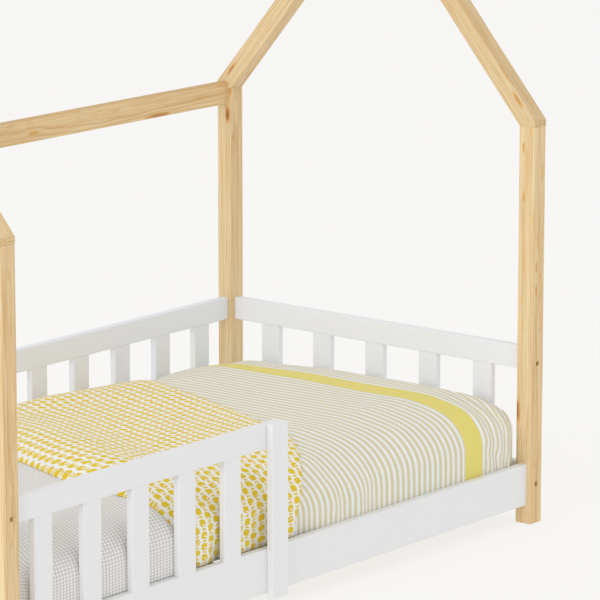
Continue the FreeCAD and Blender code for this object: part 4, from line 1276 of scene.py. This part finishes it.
# %% [markdown]
# Studio. The floor is plain and pale, and the light is soft and comes from all sides, a
# little more from the left and from above, so the faces towards the left and the tops are
# slightly brighter than the front.

# %% Floor and light
FLOOR_HALF = 30.0
FLOOR_GLOW, GLOW_COLOUR = 0.815, (0.939, 0.930, 0.913, 1)
FLOOR_DARK, FLOOR_PALE = (0.184, 0.182, 0.179), (0.190, 0.188, 0.185)
BACKDROP, BACKDROP_STRENGTH = (0.93, 0.93, 0.93, 1), 0.94
AIM = (0, 0, 0.3)
floor_points = FLOOR_HALF * np.array([(-1, -1, 0), (1, -1, 0), (1, 1, 0), (-1, 1, 0)])
floor = mesh_piece("studio_floor", floor_points, np.array([[0, 1, 2, 3]]), smooth=False)
floor_paint = Recipe("floor_paint", roughness=0.95, specular=0.0)
floor_paint.shader.inputs["Emission Color"].default_value = GLOW_COLOUR
floor_paint.shader.inputs["Emission Strength"].default_value = FLOOR_GLOW
floor_grain = floor_paint.noise(floor_paint.place(), 3.0, 2.0)
floor_tone = floor_paint.mix(floor_grain, FLOOR_DARK, FLOOR_PALE)
floor.data.materials.append(floor_paint.finish(floor_tone))

world = bpy.data.worlds.new("studio")
world.use_nodes = True
bpy.context.scene.world = world
sky = world.node_tree
background = sky.nodes["Background"]
background.inputs["Color"].default_value = BACKDROP
background.inputs["Strength"].default_value = BACKDROP_STRENGTH


def soft_light(name, place, size, power, colour=(1, 1, 1)):
    """A square area light at place, turned towards the bed."""
    lamp = bpy.data.lights.new(name, "AREA")
    lamp.size = size
    lamp.energy = power
    lamp.color = colour
    light = bpy.data.objects.new(name, lamp)
    light.location = place
    light.rotation_euler = (Vector(AIM) - Vector(place)).to_track_quat("-Z", "Y").to_euler()
    bpy.context.scene.collection.objects.link(light)


soft_light("left", place=(-7.6, -1.0, 2.8), size=4.5, power=182, colour=(0.98, 0.99, 1.05))
soft_light("above", place=(-1.6, -2.8, 7.4), size=3.5, power=12)

# %% [markdown]
# Camera. A long lens from far away keeps the posts' edges nearly parallel. It looks down 12
# degrees and along the bed at 39 degrees to its long side, so the open half of the front shows.

# %% Camera
CAMERA_YAW = math.radians(38.96)
CAMERA_PITCH = math.radians(12.02)
CAMERA_FAR = 8.51892
CAMERA_RIGHT, CAMERA_UP = 0.34882, 0.553
LENS = 248.41
forward = Vector((math.cos(CAMERA_YAW) * math.cos(CAMERA_PITCH),
                  math.sin(CAMERA_YAW) * math.cos(CAMERA_PITCH), -math.sin(CAMERA_PITCH)))
rightwards = Vector((math.sin(CAMERA_YAW), -math.cos(CAMERA_YAW), 0))
upwards = rightwards.cross(forward)
camera_data = bpy.data.cameras.new("camera")
camera_data.lens = LENS
camera_data.clip_end = 100
camera = bpy.data.objects.new("camera", camera_data)
camera.location = -CAMERA_FAR * forward + CAMERA_RIGHT * rightwards + CAMERA_UP * upwards
camera.rotation_euler = forward.to_track_quat("-Z", "Y").to_euler()
bpy.context.scene.collection.objects.link(camera)
bpy.context.scene.camera = camera
bpy.context.scene.view_settings.view_transform = "Standard"
